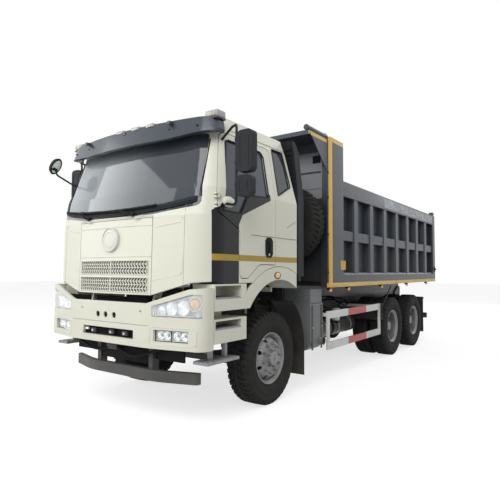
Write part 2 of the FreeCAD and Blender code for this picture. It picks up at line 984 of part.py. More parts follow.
def build_bumper():
    band = bumper_band(0, s.bumper_wall)
    above = 60
    top = prism(
        "y",
        [
            (-s.bumper_half - 10, s.bumper_top_corner),
            (-s.bumper_half + 150, s.bumper_top_corner - 12),
            (-s.lid_half, s.bumper_top_middle),
            (s.lid_half, s.bumper_top_middle),
            (s.bumper_half - 150, s.bumper_top_corner - 12),
            (s.bumper_half + 10, s.bumper_top_corner),
            (s.bumper_half + 10, s.bumper_top_corner + above),
            (-s.bumper_half - 10, s.bumper_top_corner + above),
        ],
        (behind(s.bumper_front) - 20, behind(s.bumper_rear) + 20),
    )
    deep = (behind(s.bumper_front) - 20, behind(s.bumper_front) + 80)
    slot = box((-s.slot_half, s.slot_half), deep, (s.slot_bottom, s.slot_top))
    openings = [top, slot]
    for x in (-160, -30, 110):
        openings.append(rod("y", (x, s.tow_hole_z), s.tow_hole_radius, deep))
    for opening in (lamp_opening(s.seat_gap), fog_opening(s.seat_gap)):
        openings.append(opening)
        openings.append(mirrored(opening))
    node("bumper", cut(band, *openings))
    lens = bumper_band(6, 60)
    head = common(lens, lamp_opening(0))
    fog = common(lens, fog_opening(0))
    lamps = group(head, fog)
    node("front_lamps", both_sides(lamps))


def build_underrun():
    half = s.underrun_half
    end = behind(s.underrun_end)
    front = behind(s.underrun_front)
    deep = s.underrun_depth
    outline = [
        (-half, end + deep),
        (-half, end, 40),
        (-half * 0.55, front, 900),
        (half * 0.55, front, 900),
        (half, end, 40),
        (half, end + deep),
        (half * 0.55, front + deep, 840),
        (-half * 0.55, front + deep, 840),
    ]
    bar = rounded("z", outline, (s.underrun_bottom, s.underrun_top))
    stay = box((s.rail_outer - 60, s.rail_outer), (front + 40, front + 130), (s.underrun_bottom + 20, s.rail_top - s.rail_height))
    node("underrun_bar", fuse(bar, stay, mirrored(stay)))


# Fenders, steps and mudguards

def arch_band(inner, outer, x, low_front):
    """A curved strip over a wheel, cut off at its front and its rear."""
    centre = (behind(0), s.arch_z)
    ring = cut(rod("x", centre, outer, x), rod("x", centre, inner, (x[0] - 5, x[1] + 5)))
    front = behind(s.step_rear) + s.seat_gap
    keep = box((x[0] - 5, x[1] + 5), (front, behind(s.arch_rear)), (low_front, s.arch_z + outer + 10))
    return common(ring, keep)


def build_fenders():
    x = (s.fender_inner_x, s.cab_half)
    roof = arch_band(s.arch_radius, s.arch_radius + 14, x, s.upper_step_bottom)
    flare = arch_band(s.arch_radius, s.arch_radius + 150, (s.cab_half - 30, s.cab_half), s.upper_step_bottom)
    y = (behind(s.arch_rear) - 30, behind(s.arch_rear))
    arm = box((s.rail_outer, s.fender_inner_x + 20), y, (s.arch_z + 590, s.arch_z + 650))
    leg = box((s.rail_outer, s.rail_outer + 20), y, (s.rail_top - 80, s.arch_z + 650))
    node("front_fenders", both_sides(fuse(roof, flare, arm, leg)))


def step_block(low, high, tread_z):
    """A moulded step: a shell with a foot hole above its tread."""
    x = (s.step_inner_x, s.cab_half)
    y = (behind(s.step_front), behind(s.step_rear))
    shell = box(x, y, (low, high))
    wall = 18
    hole = box((s.step_inner_x + wall, s.cab_half + 5), (y[0] + wall, y[1] - 90), (tread_z, high - wall))
    under = box((s.step_inner_x + wall, s.cab_half - wall), (y[0] + wall, y[1] - wall), (low - 5, tread_z - s.tread_thickness - wall))
    return cut(shell, hole, under)


def build_steps():
    upper = step_block(s.upper_step_bottom, s.cab_bottom - s.gap, s.upper_step_z)
    lower = step_block(s.lower_step_bottom, s.lower_step_top, s.lower_step_z)
    back = box((s.step_inner_x, s.step_inner_x + 18), (behind(s.step_front), behind(s.step_rear) - 90), (s.lower_step_top, s.upper_step_bottom))
    arm_low = s.upper_step_bottom - 60
    arm = box((s.rail_outer, s.step_inner_x), (behind(s.step_front) + 60, behind(s.step_front) + 140), (arm_low, arm_low + 60))
    arm = common(arm, box((s.rail_outer, s.step_inner_x), (behind(s.rail_front), behind(0)), (0, s.rail_top)))
    node("step_boxes", both_sides(fuse(upper, lower, back, arm)))
    treads = []
    for tread_z in (s.upper_step_z, s.lower_step_z):
        x = (s.cab_half - s.step_depth_x, s.cab_half - 2)
        y = (behind(s.step_front) + 20, behind(s.step_rear) - 92)
        treads.append(box(x, y, (tread_z + s.seat_gap, tread_z + 14)))
    low = s.hanging_step_z
    x = (s.cab_half - 200, s.cab_half - 10)
    pan = box(x, (behind(s.step_front) - 80, behind(s.step_rear) - 110), (low, low + 30))
    hangers = []
    for y in (behind(s.step_front) + 60, behind(s.step_rear) - 240):
        hangers.append(box((s.cab_half - 140, s.cab_half - 100), (y, y + 40), (low + 30, s.lower_step_z - s.tread_thickness - 18 - s.seat_gap)))
    treads.append(fuse(pan, *hangers))
    node("step_treads", both_sides(group(*treads)))


def build_mudguards():
    """Black guards behind the front wheels and over the bogie, with their flaps and stays."""
    wall = 8
    front_x = (s.fender_inner_x, s.fender_inner_x + 330)
    centre = (behind(0), s.arch_z - 80)
    outer = 690
    ring = cut(rod("x", centre, outer, front_x), rod("x", centre, outer - wall, (front_x[0] - 5, front_x[1] + 5)))
    shell = common(ring, box(front_x, (behind(s.arch_rear), behind(outer)), (s.arch_z - 80, s.arch_z + 700)))
    flap_y = behind(outer)
    flap = box(front_x, (flap_y - wall, flap_y), (230, s.arch_z - 80))
    stay = box((s.rail_outer, front_x[0] + 20), (behind(outer) - 100, behind(outer) - 50), (s.rail_top - 160, s.rail_top - 120))
    return both_sides(fuse(shell, flap, stay))


def build_bogie_guards():
    rear_x = (s.inner_wheel_x - s.tyre_width / 2, s.outer_wheel_x + s.tyre_width / 2)
    y = behind(s.wheelbase) + s.bogie_spacing
    back = y + s.tyre_radius + 90
    flap = box(rear_x, (back, back + 8), (235, 1010))
    stay = box((s.rail_outer, rear_x[1]), (back + 8, back + 48), (960, 1000))
    front = behind(s.wheelbase) - s.tyre_radius - 90
    brace = box((s.rail_outer, rear_x[1]), (front + 8, front + 48), (960, 1000))
    shield = box(rear_x, (front, front + 8), (700, 1010))
    return both_sides(group(fuse(flap, stay), fuse(brace, shield)))


# Silencer, tanks, guards, spare wheel and intake

def build_silencer():
    x_out = s.silencer_outer
    x_in = s.silencer_inner
    low = s.silencer_bottom
    high = s.silencer_top
    outline = [
        (x_in, high, 30),
        (x_in, low, 160),
        (x_out, low, 160),
        (x_out, high, 30),
    ]
    y = (behind(s.silencer_front), behind(s.silencer_rear))
    drum_box = rounded("y", outline, y)
    outlet = rod("x", (behind(s.silencer_rear) - 60, low + 125), 52, (x_out - 80, x_out + 42))
    bore = rod("x", (behind(s.silencer_rear) - 60, low + 125), 44, (x_out - 20, x_out + 60))
    upper = box((x_in + 60, x_out - 8), (y[0] + 20, y[1] - 20), (high, high + 190))
    arm = box((s.rail_outer, x_in), (y[0] + 100, y[0] + 160), (s.rail_top - 120, s.rail_top - 40))
    node("silencer", fuse(cut(fuse(drum_box, outlet), bore), upper, arm))


def build_tanks():
    """Air bottles on the left and the fuel tank on the right."""
    bottles = []
    for y in (1500, 2450):
        start = behind(y)
        bottles.append(rod("y", (s.rail_outer + 190, 640), s.bottle_radius, (start, start + 850)))
        arm = box((s.rail_outer, s.rail_outer + 120), (start + 400, start + 450), (700, s.rail_top - 180))
        bottles.append(arm)
    left = group(fuse(*bottles[:2]), fuse(*bottles[2:]))
    half = s.tank_radius
    x = s.tank_x
    low = 420
    top = low + 2 * half
    outline = [
        (-x + half, low, 110),
        (-x + half, top, 110),
        (-x - half, top, 110),
        (-x - half, low, 110),
    ]
    tank = rounded("y", outline, (behind(1430), behind(2700)))
    battery = box((-x - 240, -s.rail_outer - 40), (behind(2800), behind(3380)), (560, 940))
    ties = []
    for y in (1600, 2500, 3000):
        ties.append(box((-s.rail_outer - 60, -s.rail_outer), (behind(y), behind(y + 60)), (830, 900)))
    node("tanks", group(left, fuse(tank, *ties[:2]), fuse(battery, ties[2])))


def build_guards():
    """The white side guards: two rails and two posts a side, on stays from the frame."""
    x = (s.guard_x - s.guard_rail_width, s.guard_x)
    y = (behind(s.guard_front), behind(s.guard_rear))
    tall = s.guard_rail_height
    parts = []
    for low in (s.guard_low, s.guard_high):
        parts.append(box(x, y, (low, low + tall)))
    for start in (y[0], y[1] - 60):
        parts.append(box(x, (start, start + 60), (s.guard_low, s.guard_high + tall)))
    stay_z = s.guard_high + 30
    for at in (y[0], y[1] - 60):
        parts.append(box((s.rail_outer, x[0]), (at, at + 50), (stay_z, stay_z + 50)))
    node("side_guards", both_sides(fuse(*parts)))


def build_spare():
    x = s.spare_x
    y = behind(s.spare_y)
    z = s.spare_z
    upright_tyre = tyre(0, 0, 0)
    upright_rim = fuse(rim_band(0, 0, 0), disc(0, -60, 0, 0))
    spun = FreeCAD.Rotation(vector(0, 0, 1), -90)
    for name, piece in (("spare_tyre", upright_tyre), ("spare_rim", upright_rim)):
        turned_piece = copied(piece, (x, y, z))
        turned_piece.Placement.Rotation = spun
        place(turned_piece, (x, y, z))
        node(name, turned_piece)
    half = 45
    plate_y = y - s.tyre_width / 2 - 10
    lift = z - s.tyre_radius
    post_x = (x - half, x + half)
    post = box(post_x, (plate_y - 60, plate_y), (s.rail_top + 60, z + 120))
    foot = box((s.rail_outer - s.rail_width, s.rail_outer), (plate_y - 60, plate_y), (s.rail_top, s.rail_top + 120))
    beam = box((s.rail_outer - s.rail_width, x + half), (plate_y - 60, plate_y), (s.rail_top + 60, s.rail_top + 120))
    arm = box(post_x, (plate_y, y - s.rim_wall - 1), (z - 60, z + 60))
    ledge = box((x - 130, x + 130), (plate_y, y + s.tyre_width / 2), (lift - 40 - s.seat_gap, lift - s.seat_gap))
    node("spare_carrier", fuse(post, foot, beam, arm, ledge))


def build_snorkel():
    """The air intake behind the cab, leaning with the cab's rear edge."""
    x = (s.snorkel_inner_x, s.snorkel_outer_x)
    front = s.cab_rear + 50
    outline = [
        (behind(front), 1500),
        (behind(front + 150), 1500),
        (behind(front + 150), 2500),
        (behind(front + 30), 3060),
        (behind(front - 70), 3190),
        (behind(front - 150), 3190),
        (behind(front - 100), 3060),
        (behind(front), 2560),
    ]
    duct = prism("x", outline, x)
    foot_z = (1440, 1500)
    foot = box((s.rail_outer + 20, x[1] - 20), (behind(front + 40), behind(front + 110)), foot_z)
    leg = box((s.rail_outer + 20, s.rail_outer + 80), (behind(front + 40), behind(front + 110)), (s.rail_top - 200, 1440))
    web = box((s.rail_outer, s.rail_outer + 20), (behind(front + 40), behind(front + 110)), (s.rail_top - 200, s.rail_top - 60))
    node("snorkel", fuse(duct, foot, leg, web))


def build_rear_bar():
    """The rear underrun bar with a lamp housing at each end."""
    y = behind(s.rail_rear) + 75
    bar = box((-1120, 1120), (y, y + 70), (480, 600))
    stay = box((s.rail_outer - 60, s.rail_outer), (y - 135, y), (480, s.rail_top - s.rail_height))
    lamp = box((860, 1120), (y + 70, y + 110), (490, 590))
    node("rear_bar", fuse(bar, stay, mirrored(stay)))
    node("tail_lamps", both_sides(lamp))


# Cab

def cab_level(z, half, side_front, front, grow):
    """Points round one level of the cab: straight back and sides, round corners and a bowed front."""
    half = half - grow
    rear = number(behind(s.cab_rear))
    if z > number(s.cab_waist) + 1:
        rear = number(behind(s.cab_rear_top)) + (number(s.cab_roof) - z) * 0.1
    rear = rear - grow
    side = number(behind(side_front)) + grow * 0.4
    nose = number(behind(front)) + grow
    corner_x = half * 0.80
    corner_y = nose + (side - nose) * 0.24
    mid_x = half * 0.958
    mid_y = nose + (side - nose) * 0.56
    right = [vector(half, rear, z), vector(half, side, z), vector(mid_x, mid_y, z), vector(corner_x, corner_y, z)]
    left = [vector(-point.x, point.y, z) for point in reversed(right)]
    return right + [vector(0, nose, z)] + left


def level_edges(points):
    """The six edges of one level."""
    back_left, side_left, mid_left, corner_left, nose, corner_right, mid_right, side_right, back_right = points
    return [
        Part.LineSegment(back_left, side_left).toShape(),
        Part.Arc(side_left, mid_left, corner_left).toShape(),
        Part.Arc(corner_left, nose, corner_right).toShape(),
        Part.Arc(corner_right, mid_right, side_right).toShape(),
        Part.LineSegment(side_right, back_right).toShape(),
        Part.LineSegment(back_right, back_left).toShape(),
    ]


def cab_form(grow, bottom, top):
    """The cab's outer form, or its inside when it is moved inwards."""
    half = number(s.cab_half)
    roof_half = number(s.cab_roof_half)
    levels = [
        (bottom, half, -1030, number(s.cab_front)),
        (number(s.cab_sill), half, -1020, -1438),
        (number(s.cab_waist), half, -985, -1375),
        (number(s.cab_brow), roof_half + 35, -830, -1190),
        (top, roof_half - 25, -740, -1090),
    ]
    rows = [cab_level(z, width, side, nose, grow) for z, width, side, nose in levels]
    rings = [level_edges(row) for row in rows]
    faces = [Part.Face(Part.Wire(rings[0])), Part.Face(Part.Wire(rings[-1]))]
    for low, high, low_ring, high_ring in zip(rows, rows[1:], rings, rings[1:]):
        for first, last in ((0, 1), (7, 8), (8, 0)):
            corners = [low[first], low[last], high[last], high[first], low[first]]
            faces.append(Part.Face(Part.makePolygon(corners)))
        for index in (1, 2, 3):
            faces.append(Part.makeRuledSurface(low_ring[index], high_ring[index]))
    shell = Part.makeShell(faces)
    shell.sewShape()
    solid = Part.makeSolid(shell)
    if solid.Volume < 0:
        solid.reverse()
    return solid


def side_outline(points, span):
    """A side view outline carried through one side of the cab."""
    return rounded("x", [(behind(p[0]),) + tuple(p[1:]) for p in points], span)


def door_outline(grow):
    """The door seen from the side: stepped front edge, lower corner cut for the wheel arch."""
    return [
        (s.door_front_low - grow, s.door_bottom - grow, 60),
        (-640 + 0.3 * grow, s.door_bottom - grow, 40),
        (-420 + 0.6 * grow, 1640 - grow, 120),
        (s.door_rear + grow, 1640 - grow, 20),
        (s.door_rear + grow, s.door_top + grow, 60),
        (s.door_front_top - grow, s.door_top + grow, 60),
        (s.door_front_high - grow, s.window_sill, 300),
        (s.door_front_high - grow, s.door_step_z - grow, 40),
        (s.door_front_low - grow, s.door_step_z - 160 - grow, 60),
    ]


def hinge_spans():
    """The heights of each door hinge's three knuckles: the shell's, the door's and the shell's."""
    step = s.knuckle_height + 2
    spans = []
    for start in (s.hinge_z, s.hinge_z + s.hinge_spread):
        spans.append([(start + step * index, start + step * index + s.knuckle_height) for index in range(3)])
    return spans


def hinge_knuckle(span, reach):
    """A barrel on the hinge line and the leaf that joins it to the skin, ahead of it or behind it."""
    x = s.hinge_x
    y = behind(s.door_front_high)
    barrel = rod("z", (x, y), s.hinge_barrel, span)
    neck_y = (y, y + 13) if reach > 0 else (y - 13, y)
    leaf_y = (y + 9, y + reach) if reach > 0 else (y + reach, y - 9)
    neck = box((x - s.hinge_barrel, x + s.hinge_barrel), neck_y, span)
    leaf = box((x - 40, x), leaf_y, span)
    return fuse(barrel, neck, leaf)


def hinge_rods(radius, longer):
    """A round bar through each hinge."""
    centre = (s.hinge_x, behind(s.door_front_high))
    rods = []
    for spans in hinge_spans():
        rods.append(rod("z", centre, radius, (spans[0][0] - longer, spans[2][1] + longer)))
    return rods


def door_window():
    return [
        (s.window_front - 130, s.window_drop, 40),
        (-760, s.window_drop, 120),
        (-640, s.window_sill, 200),
        (s.window_rear, s.window_sill + 25, 40),
        (s.window_rear, s.window_head, 50),
        (s.window_front, s.window_head, 50),
    ]


def quarter_window():
    return [
        (-30, 2440, 40),
        (300, 2600, 40),
        (225, 3035, 50),
        (-30, 3035, 50),
    ]


def lid_form(grow):
    """The space of the front lid in the cab's nose."""
    half = s.lid_half + grow
    return box((-half, half), (behind(s.cab_front) - 40, behind(s.cab_front) + 90), (s.lid_bottom - grow, s.lid_top + grow))


def build_cab():
    wall = number(s.cab_wall)
    low = number(s.lid_bottom) - 20
    roof = number(s.cab_roof)
    outer = cab_form(0.0, low, roof)
    inner = cab_form(wall, low, roof - wall)
    floor_cut = Part.makeBox(4000, 4000, 2000, vector(-2000, -6000, number(s.cab_bottom) + wall))
    room = inner.common(floor_cut)
    shell = outer.cut(room)
    # The nose below the floor is only a skin
    below = Part.makeBox(4000, 4000, number(s.cab_bottom) - low + 1, vector(-2000, -6000, low - 1))
    nose_inner = cab_form(30.0, low, roof)
    shell = shell.cut(nose_inner.common(below))
    back_low = Part.makeBox(
        4000, 3000, number(s.cab_skirt) - low + 1, vector(-2000, number(behind(s.cab_front)) + 330, low - 1)
    )
    keep = Part.makeBox(
        4000, 3000, number(s.cab_skirt) - number(s.cab_bottom),
        vector(-2000, number(behind(s.cab_front)) + 330, number(s.cab_bottom)),
    )
    shell = shell.cut(back_low.cut(keep))
    shell_feature = solid_of(shell)
    wedge = prism(
        "y",
        [
            (-s.cab_half - 5, s.lid_bottom - 40),
            (s.cab_half + 5, s.lid_bottom - 40),
            (s.cab_half + 5, s.cab_skirt),
            (s.cab_half - 170, s.cab_skirt - 12),
            (s.lid_half + 20, s.lid_bottom + 8),
            (-s.lid_half - 20, s.lid_bottom + 8),
            (-s.cab_half + 170, s.cab_skirt - 12),
            (-s.cab_half - 5, s.cab_skirt),
        ],
        (behind(s.cab_front) - 60, behind(s.cab_front) + 332),
    )
    whole = cut(shell_feature, wedge)

    sides = (s.cab_half - 330, s.cab_half + 20)
    door_hole = side_outline(door_outline(s.door_gap), sides)
    quarter = side_outline(quarter_window(), sides)
    screen = screen_outline(0)
    arch = rod("x", (behind(0), s.arch_z), s.arch_radius + 150 + s.gap, (s.fender_inner_x - 20, s.cab_half + 10))
    rear_window = box((-420, 420), (behind(s.cab_rear) - 300, behind(s.cab_rear) + 20), (2450, 2850))
    holes = [door_hole, mirrored(door_hole), quarter, mirrored(quarter), screen, rear_window]
    holes += [arch, mirrored(arch), lid_form(s.gap)]
    notches = hinge_rods(s.hinge_barrel + s.gap, 4)
    for notch in notches:
        holes += [notch, mirrored(notch)]
    ear = cab_ear()
    knuckles = []
    for low_span, door_span, high_span in hinge_spans():
        knuckles += [hinge_knuckle(low_span, -43), hinge_knuckle(high_span, -43)]
    sockets = cut(group(*knuckles), *hinge_rods(s.hinge_pin + s.bearing_gap, 1))
    hinges = [sockets, mirrored(sockets)]
    node("cab_shell", fuse(cut(whole, *holes), firewall(), ear, mirrored(ear), *hinges, *lid_hinges()))

    door_space = side_outline(door_outline(0), sides)
    window = side_outline(door_window(), sides)
    left_skin = common(whole, door_space)
    left_door = cut(left_skin, window)
    trimmed = cut(left_door, arch, *notches)
    middles = [hinge_knuckle(spans[1], 43) for spans in hinge_spans()]
    hung = fuse(trimmed, *middles, *hinge_rods(s.hinge_pin, 3))
    node("door_left", hung)
    node("door_right", mirrored(hung))

    glass_skin = glass_layer(low, roof)
    panes = side_outline(inset_outline(door_window()), sides)
    left_pane = common(glass_skin, panes)
    node("door_glass_left", left_pane)
    node("door_glass_right", mirrored(left_pane))
    quarter_pane = common(glass_layer(low, roof), side_outline(inset_outline(quarter_window()), sides))
    front_pane = common(glass_layer(low, roof), screen_outline(0.5))
    back_pane = box((-419.5, 419.5), (behind(s.cab_rear) - 30, behind(s.cab_rear) - 22), (2450.5, 2849.5))
    back_pane = common(back_pane, box((-500, 500), (behind(s.cab_rear) - 400, behind(s.cab_rear)), (2400, 2900)))
    node("cab_glass", group(quarter_pane, mirrored(quarter_pane), front_pane, back_pane))


def inset_outline(points):
    """The same window, drawn in by half a millimetre."""
    middle_y = sum(number(p[0]) for p in points) / len(points)
    middle_z = sum(number(p[1]) for p in points) / len(points)
    inset = []
    for point in points:
        y = number(point[0])
        z = number(point[1])
        y += 0.5 if y < middle_y else -0.5
        z += 0.5 if z < middle_z else -0.5
        inset.append((y, z, point[2]))
    return inset


def glass_layer(low, roof):
    """A thin layer in the middle of the cab's wall."""
    outer = cab_form(14.0, low, roof - 14)
    inner = cab_form(14.0 + number(s.glass_wall), low, roof - 14)
    return solid_of(outer.cut(inner))


def screen_outline(inset):
    """The windscreen's opening, seen from the front."""
    half = s.screen_half - inset
    outline = [
        (-half - 40, s.screen_bottom + inset + 30, 60),
        (-s.screen_half * 0.5, s.screen_bottom + inset - 40, 600),
        (s.screen_half * 0.5, s.screen_bottom + inset - 40, 600),
        (half + 40, s.screen_bottom + inset + 30, 60),
        (half - 40, s.screen_top - inset, 60),
        (-half + 40, s.screen_top - inset, 60),
    ]
    return rounded("y", outline, (behind(s.cab_front) - 60, behind(s.door_front_high) + 130))


def firewall():
    """The steel wall behind the front lid."""
    return box((-s.lid_half - 20, s.lid_half + 20), (behind(s.cab_front) + 96, behind(s.cab_front) + 126), (s.cab_bottom, s.cab_sill))


def cab_ear():
    """The lug under the cab floor that turns on the pivot pin."""
    y = behind(s.cab_pivot_y)
    z = s.cab_pivot_z
    x = (s.rail_outer + 30 + s.gap, s.rail_outer + 60 + s.gap)
    plate = prism(
        "x",
        [
            (y - 30, z - 5),
            (y + 30, z - 25),
            (y + 170, s.cab_bottom),
            (y + 60, s.cab_bottom),
        ],
        x,
    )
    boss = rod("x", (y, z), 36, x)
    pin = rod("x", (y, z), s.cab_pin_radius, (s.rail_outer - s.gap, x[1]))
    return fuse(plate, boss, pin)


def build_visor():
    """The dark peak over the windscreen, with marker lamps along its top."""
    low = 2955
    high = 3130
    outer = cab_form(-130.0, number(s.lid_bottom), number(s.cab_roof) + 130)
    inner = cab_form(-70.0, number(s.lid_bottom), number(s.cab_roof) + 70)
    band = solid_of(outer.cut(inner))
    space = rounded(
        "y",
        [
            (-1205, low + 20, 30),
            (-700, low - 30, 400),
            (700, low - 30, 400),
            (1205, low + 20, 30),
            (1180, high, 60),
            (-1180, high, 60),
        ],
        (behind(-1700), behind(-990)),
    )
    peak = common(band, space)
    arms = []
    for x in (-700, 0, 700):
        arms.append(box((x - 20, x + 20), (behind(-1300), behind(-1085)), (3080, 3110)))
    stays = cut(fuse(*arms), skin_core())
    node("sun_visor", fuse(peak, cut(stays, peak)))


def build_front_lid():
    """The lifting grille panel: two bands of slanted openings and a plain boss."""
    low = number(s.lid_bottom) - 20
    roof = number(s.cab_roof)
    wall = number(s.lid_wall)
    layer = solid_of(cab_form(0.0, low, roof).cut(cab_form(wall, low, roof)))
    panel = common(layer, lid_form(0))
    deep = (behind(s.cab_front) - 40, behind(s.cab_front) + 60)
    bands = []
    for bottom, top in ((1345, 1495), (1525, 1670)):
        bands.append(box((-560, 560), deep, (bottom, top)))
    frame_panel = cut(panel, *bands)
    mesh = grille_mesh()
    badge = rod("y", (0, 1897), 120, (behind(s.cab_front) - 8, behind(s.cab_front) + 14))
    lugs = []
    notches = []
    bores = []
    y, z = lid_pin_centre()
    for x in lid_hinge_places():
        for start in (x - 24, x + 44):
            lugs.append(box((start, start + 20), (y - 10, y + 34), (z - 10, z + 10)))
        notches.append(box((x, x + 40), (y - 30, y + 70), (z - 16, z + 20)))
        bores.append(rod("x", (y, z), s.lid_pin_radius + s.bearing_gap, (x - 30, x + 70)))
    node("front_lid", cut(fuse(frame_panel, mesh, badge, *lugs), *notches, *bores))


def lid_hinge_places():
    return (-420, 380)


def lid_pin_centre():
    """The front lid turns on pins just behind its top edge."""
    return (behind(s.cab_front) + 12, s.lid_top - 10)


def lid_hinges():
    """The arms and pins that carry the front lid."""
    y, z = lid_pin_centre()
    pieces = []
    for x in lid_hinge_places():
        pieces.append(rod("x", (y, z), s.lid_pin_radius, (x - 24, x + 64)))
        pieces.append(box((x + 6, x + 34), (y - 6, behind(s.cab_front) + 100), (z - 7, z + 7)))
    return pieces


def grille_mesh():
    """Crossed slats that fill both grille bands."""
    deep = (behind(s.cab_front) - 40, behind(s.cab_front) + 60)
    slats = []
    pitch = 80
    for bottom, top in ((1345, 1495), (1525, 1670)):
        tall = top - bottom
        for index in range(14):
            x = -560 + index * pitch
            for lean in (-1, 1):
                foot = x + (0 if lean > 0 else pitch)
                head = foot + lean * pitch
                slats.append(prism("y", [(foot, bottom - 2), (foot + 14, bottom - 2), (head + 14, top + 2), (head, top + 2)], deep))
    inner = solid_of(
        cab_form(8.0, number(s.lid_bottom) - 20, number(s.cab_roof)).cut(
            cab_form(22.0, number(s.lid_bottom) - 20, number(s.cab_roof))
        )
    )
    window = box((-562, 562), deep, (1343, 1672))
    return common(common(fuse(*slats), inner), window)


def build_cab_inside():
    floor_z = s.cab_bottom + s.cab_wall
    dash_outline = [
        (behind(-1225), 2080),
        (behind(-1225), 1700),
        (behind(-980), 1760),
        (behind(-900), 2000),
        (behind(-960), 2130),
        (behind(-1180), 2150),
    ]
    wheel_centre = vector(560, number(behind(-800)), 2180)
    lean = vector(0, -0.563, -0.826)
    bearing = number(s.column_radius) + number(s.bearing_gap)
    column_bore = solid_of(Part.makeCylinder(bearing, 130, wheel_centre + lean * 145, lean))
    wall_rear = behind(s.cab_front) + 126
    dash_back = box((-600, 600), (wall_rear + s.seat_gap, behind(-1225)), (1760, 2060))
    dash = fuse(prism("x", dash_outline, (-1090, 1090)), dash_back)
    node("dashboard", cut(dash, column_bore))
    seats = []
    for x in (-560, 560):
        base = box((x - 200, x + 200), (behind(-520), behind(-80)), (floor_z, floor_z + 260))
        cushion = box((x - 250, x + 250), (behind(-600), behind(-60)), (floor_z + 260, floor_z + 400))
        back = prism(
            "x",
            [
                (behind(-170), floor_z + 400),
                (behind(-60), floor_z + 400),
                (behind(60), floor_z + 1010),
                (behind(-40), floor_z + 1010),
            ],
            (x - 230, x + 230),
        )
        rest = box((x - 120, x + 120), (behind(-40), behind(50)), (floor_z + 1010, floor_z + 1190))
        seats.append(fuse(base, cushion, back, rest))
    node("seats", group(*seats))
    ring = Part.makeTorus(225, 15, wheel_centre, lean)
    hub_disc = Part.makeCylinder(60, 26, wheel_centre, lean)
    spokes = []
    for angle in (90, 210, 330):
        spoke = Part.makeBox(212, 34, 12, vector(0, -17, 8))
        spoke.Placement = FreeCAD.Placement(wheel_centre, FreeCAD.Rotation(vector(0, 0, 1), lean)).multiply(
            FreeCAD.Placement(vector(0, 0, 0), FreeCAD.Rotation(vector(0, 0, 1), angle))
        )
        spokes.append(spoke)
    shaft = Part.makeCylinder(number(s.column_radius), 234, wheel_centre + lean * 26, lean)
    node("steering_wheel", solid_of(ring.fuse([hub_disc, shaft] + spokes)))


def skin_core():
    """The whole cab, a seat's gap larger, to trim what stands on its skin."""
    return solid_of(cab_form(-number(s.seat_gap), number(s.lid_bottom), number(s.cab_roof)))


def build_mirrors():
    """Mirror sets on the door frames: a bar with a large and a small head."""
    for name, sign, shift in (("mirror_left", 1, 0), ("mirror_right", -1, 150)):
        bar_x = 1385
        bar_y = behind(-1035) + shift
        tube = swept(
            [
                (sign * 1090, behind(-945), 2900),
                (sign * 1290, behind(-985), 3020),
                (sign * bar_x, bar_y, 3020),
                (sign * bar_x, bar_y, 2210),
                (sign * 1200, behind(-1035), 2250),
            ],
            13,
            40,
        )
        head_y = (bar_y - 20, bar_y + 70)
        big_x = sorted((sign * 1400, sign * 1585))
        small_x = sorted((sign * 1400, sign * 1570))
        big = rounded("y", [(big_x[0], 2530, 50), (big_x[1], 2530, 50), (big_x[1], 2945, 50), (big_x[0], 2945, 50)], head_y)
        small = rounded("y", [(small_x[0], 2290, 45), (small_x[1], 2290, 45), (small_x[1], 2500, 45), (small_x[0], 2500, 45)], head_y)
        clamps = []
        for z in (2400, 2620, 2850):
            clamps.append(box(sorted((sign * (bar_x - 5), sign * 1402)), (bar_y - 12, bar_y + 12), (z, z + 30)))
        node(name, cut(fuse(tube, big, small, *clamps), skin_core()))


# Load body

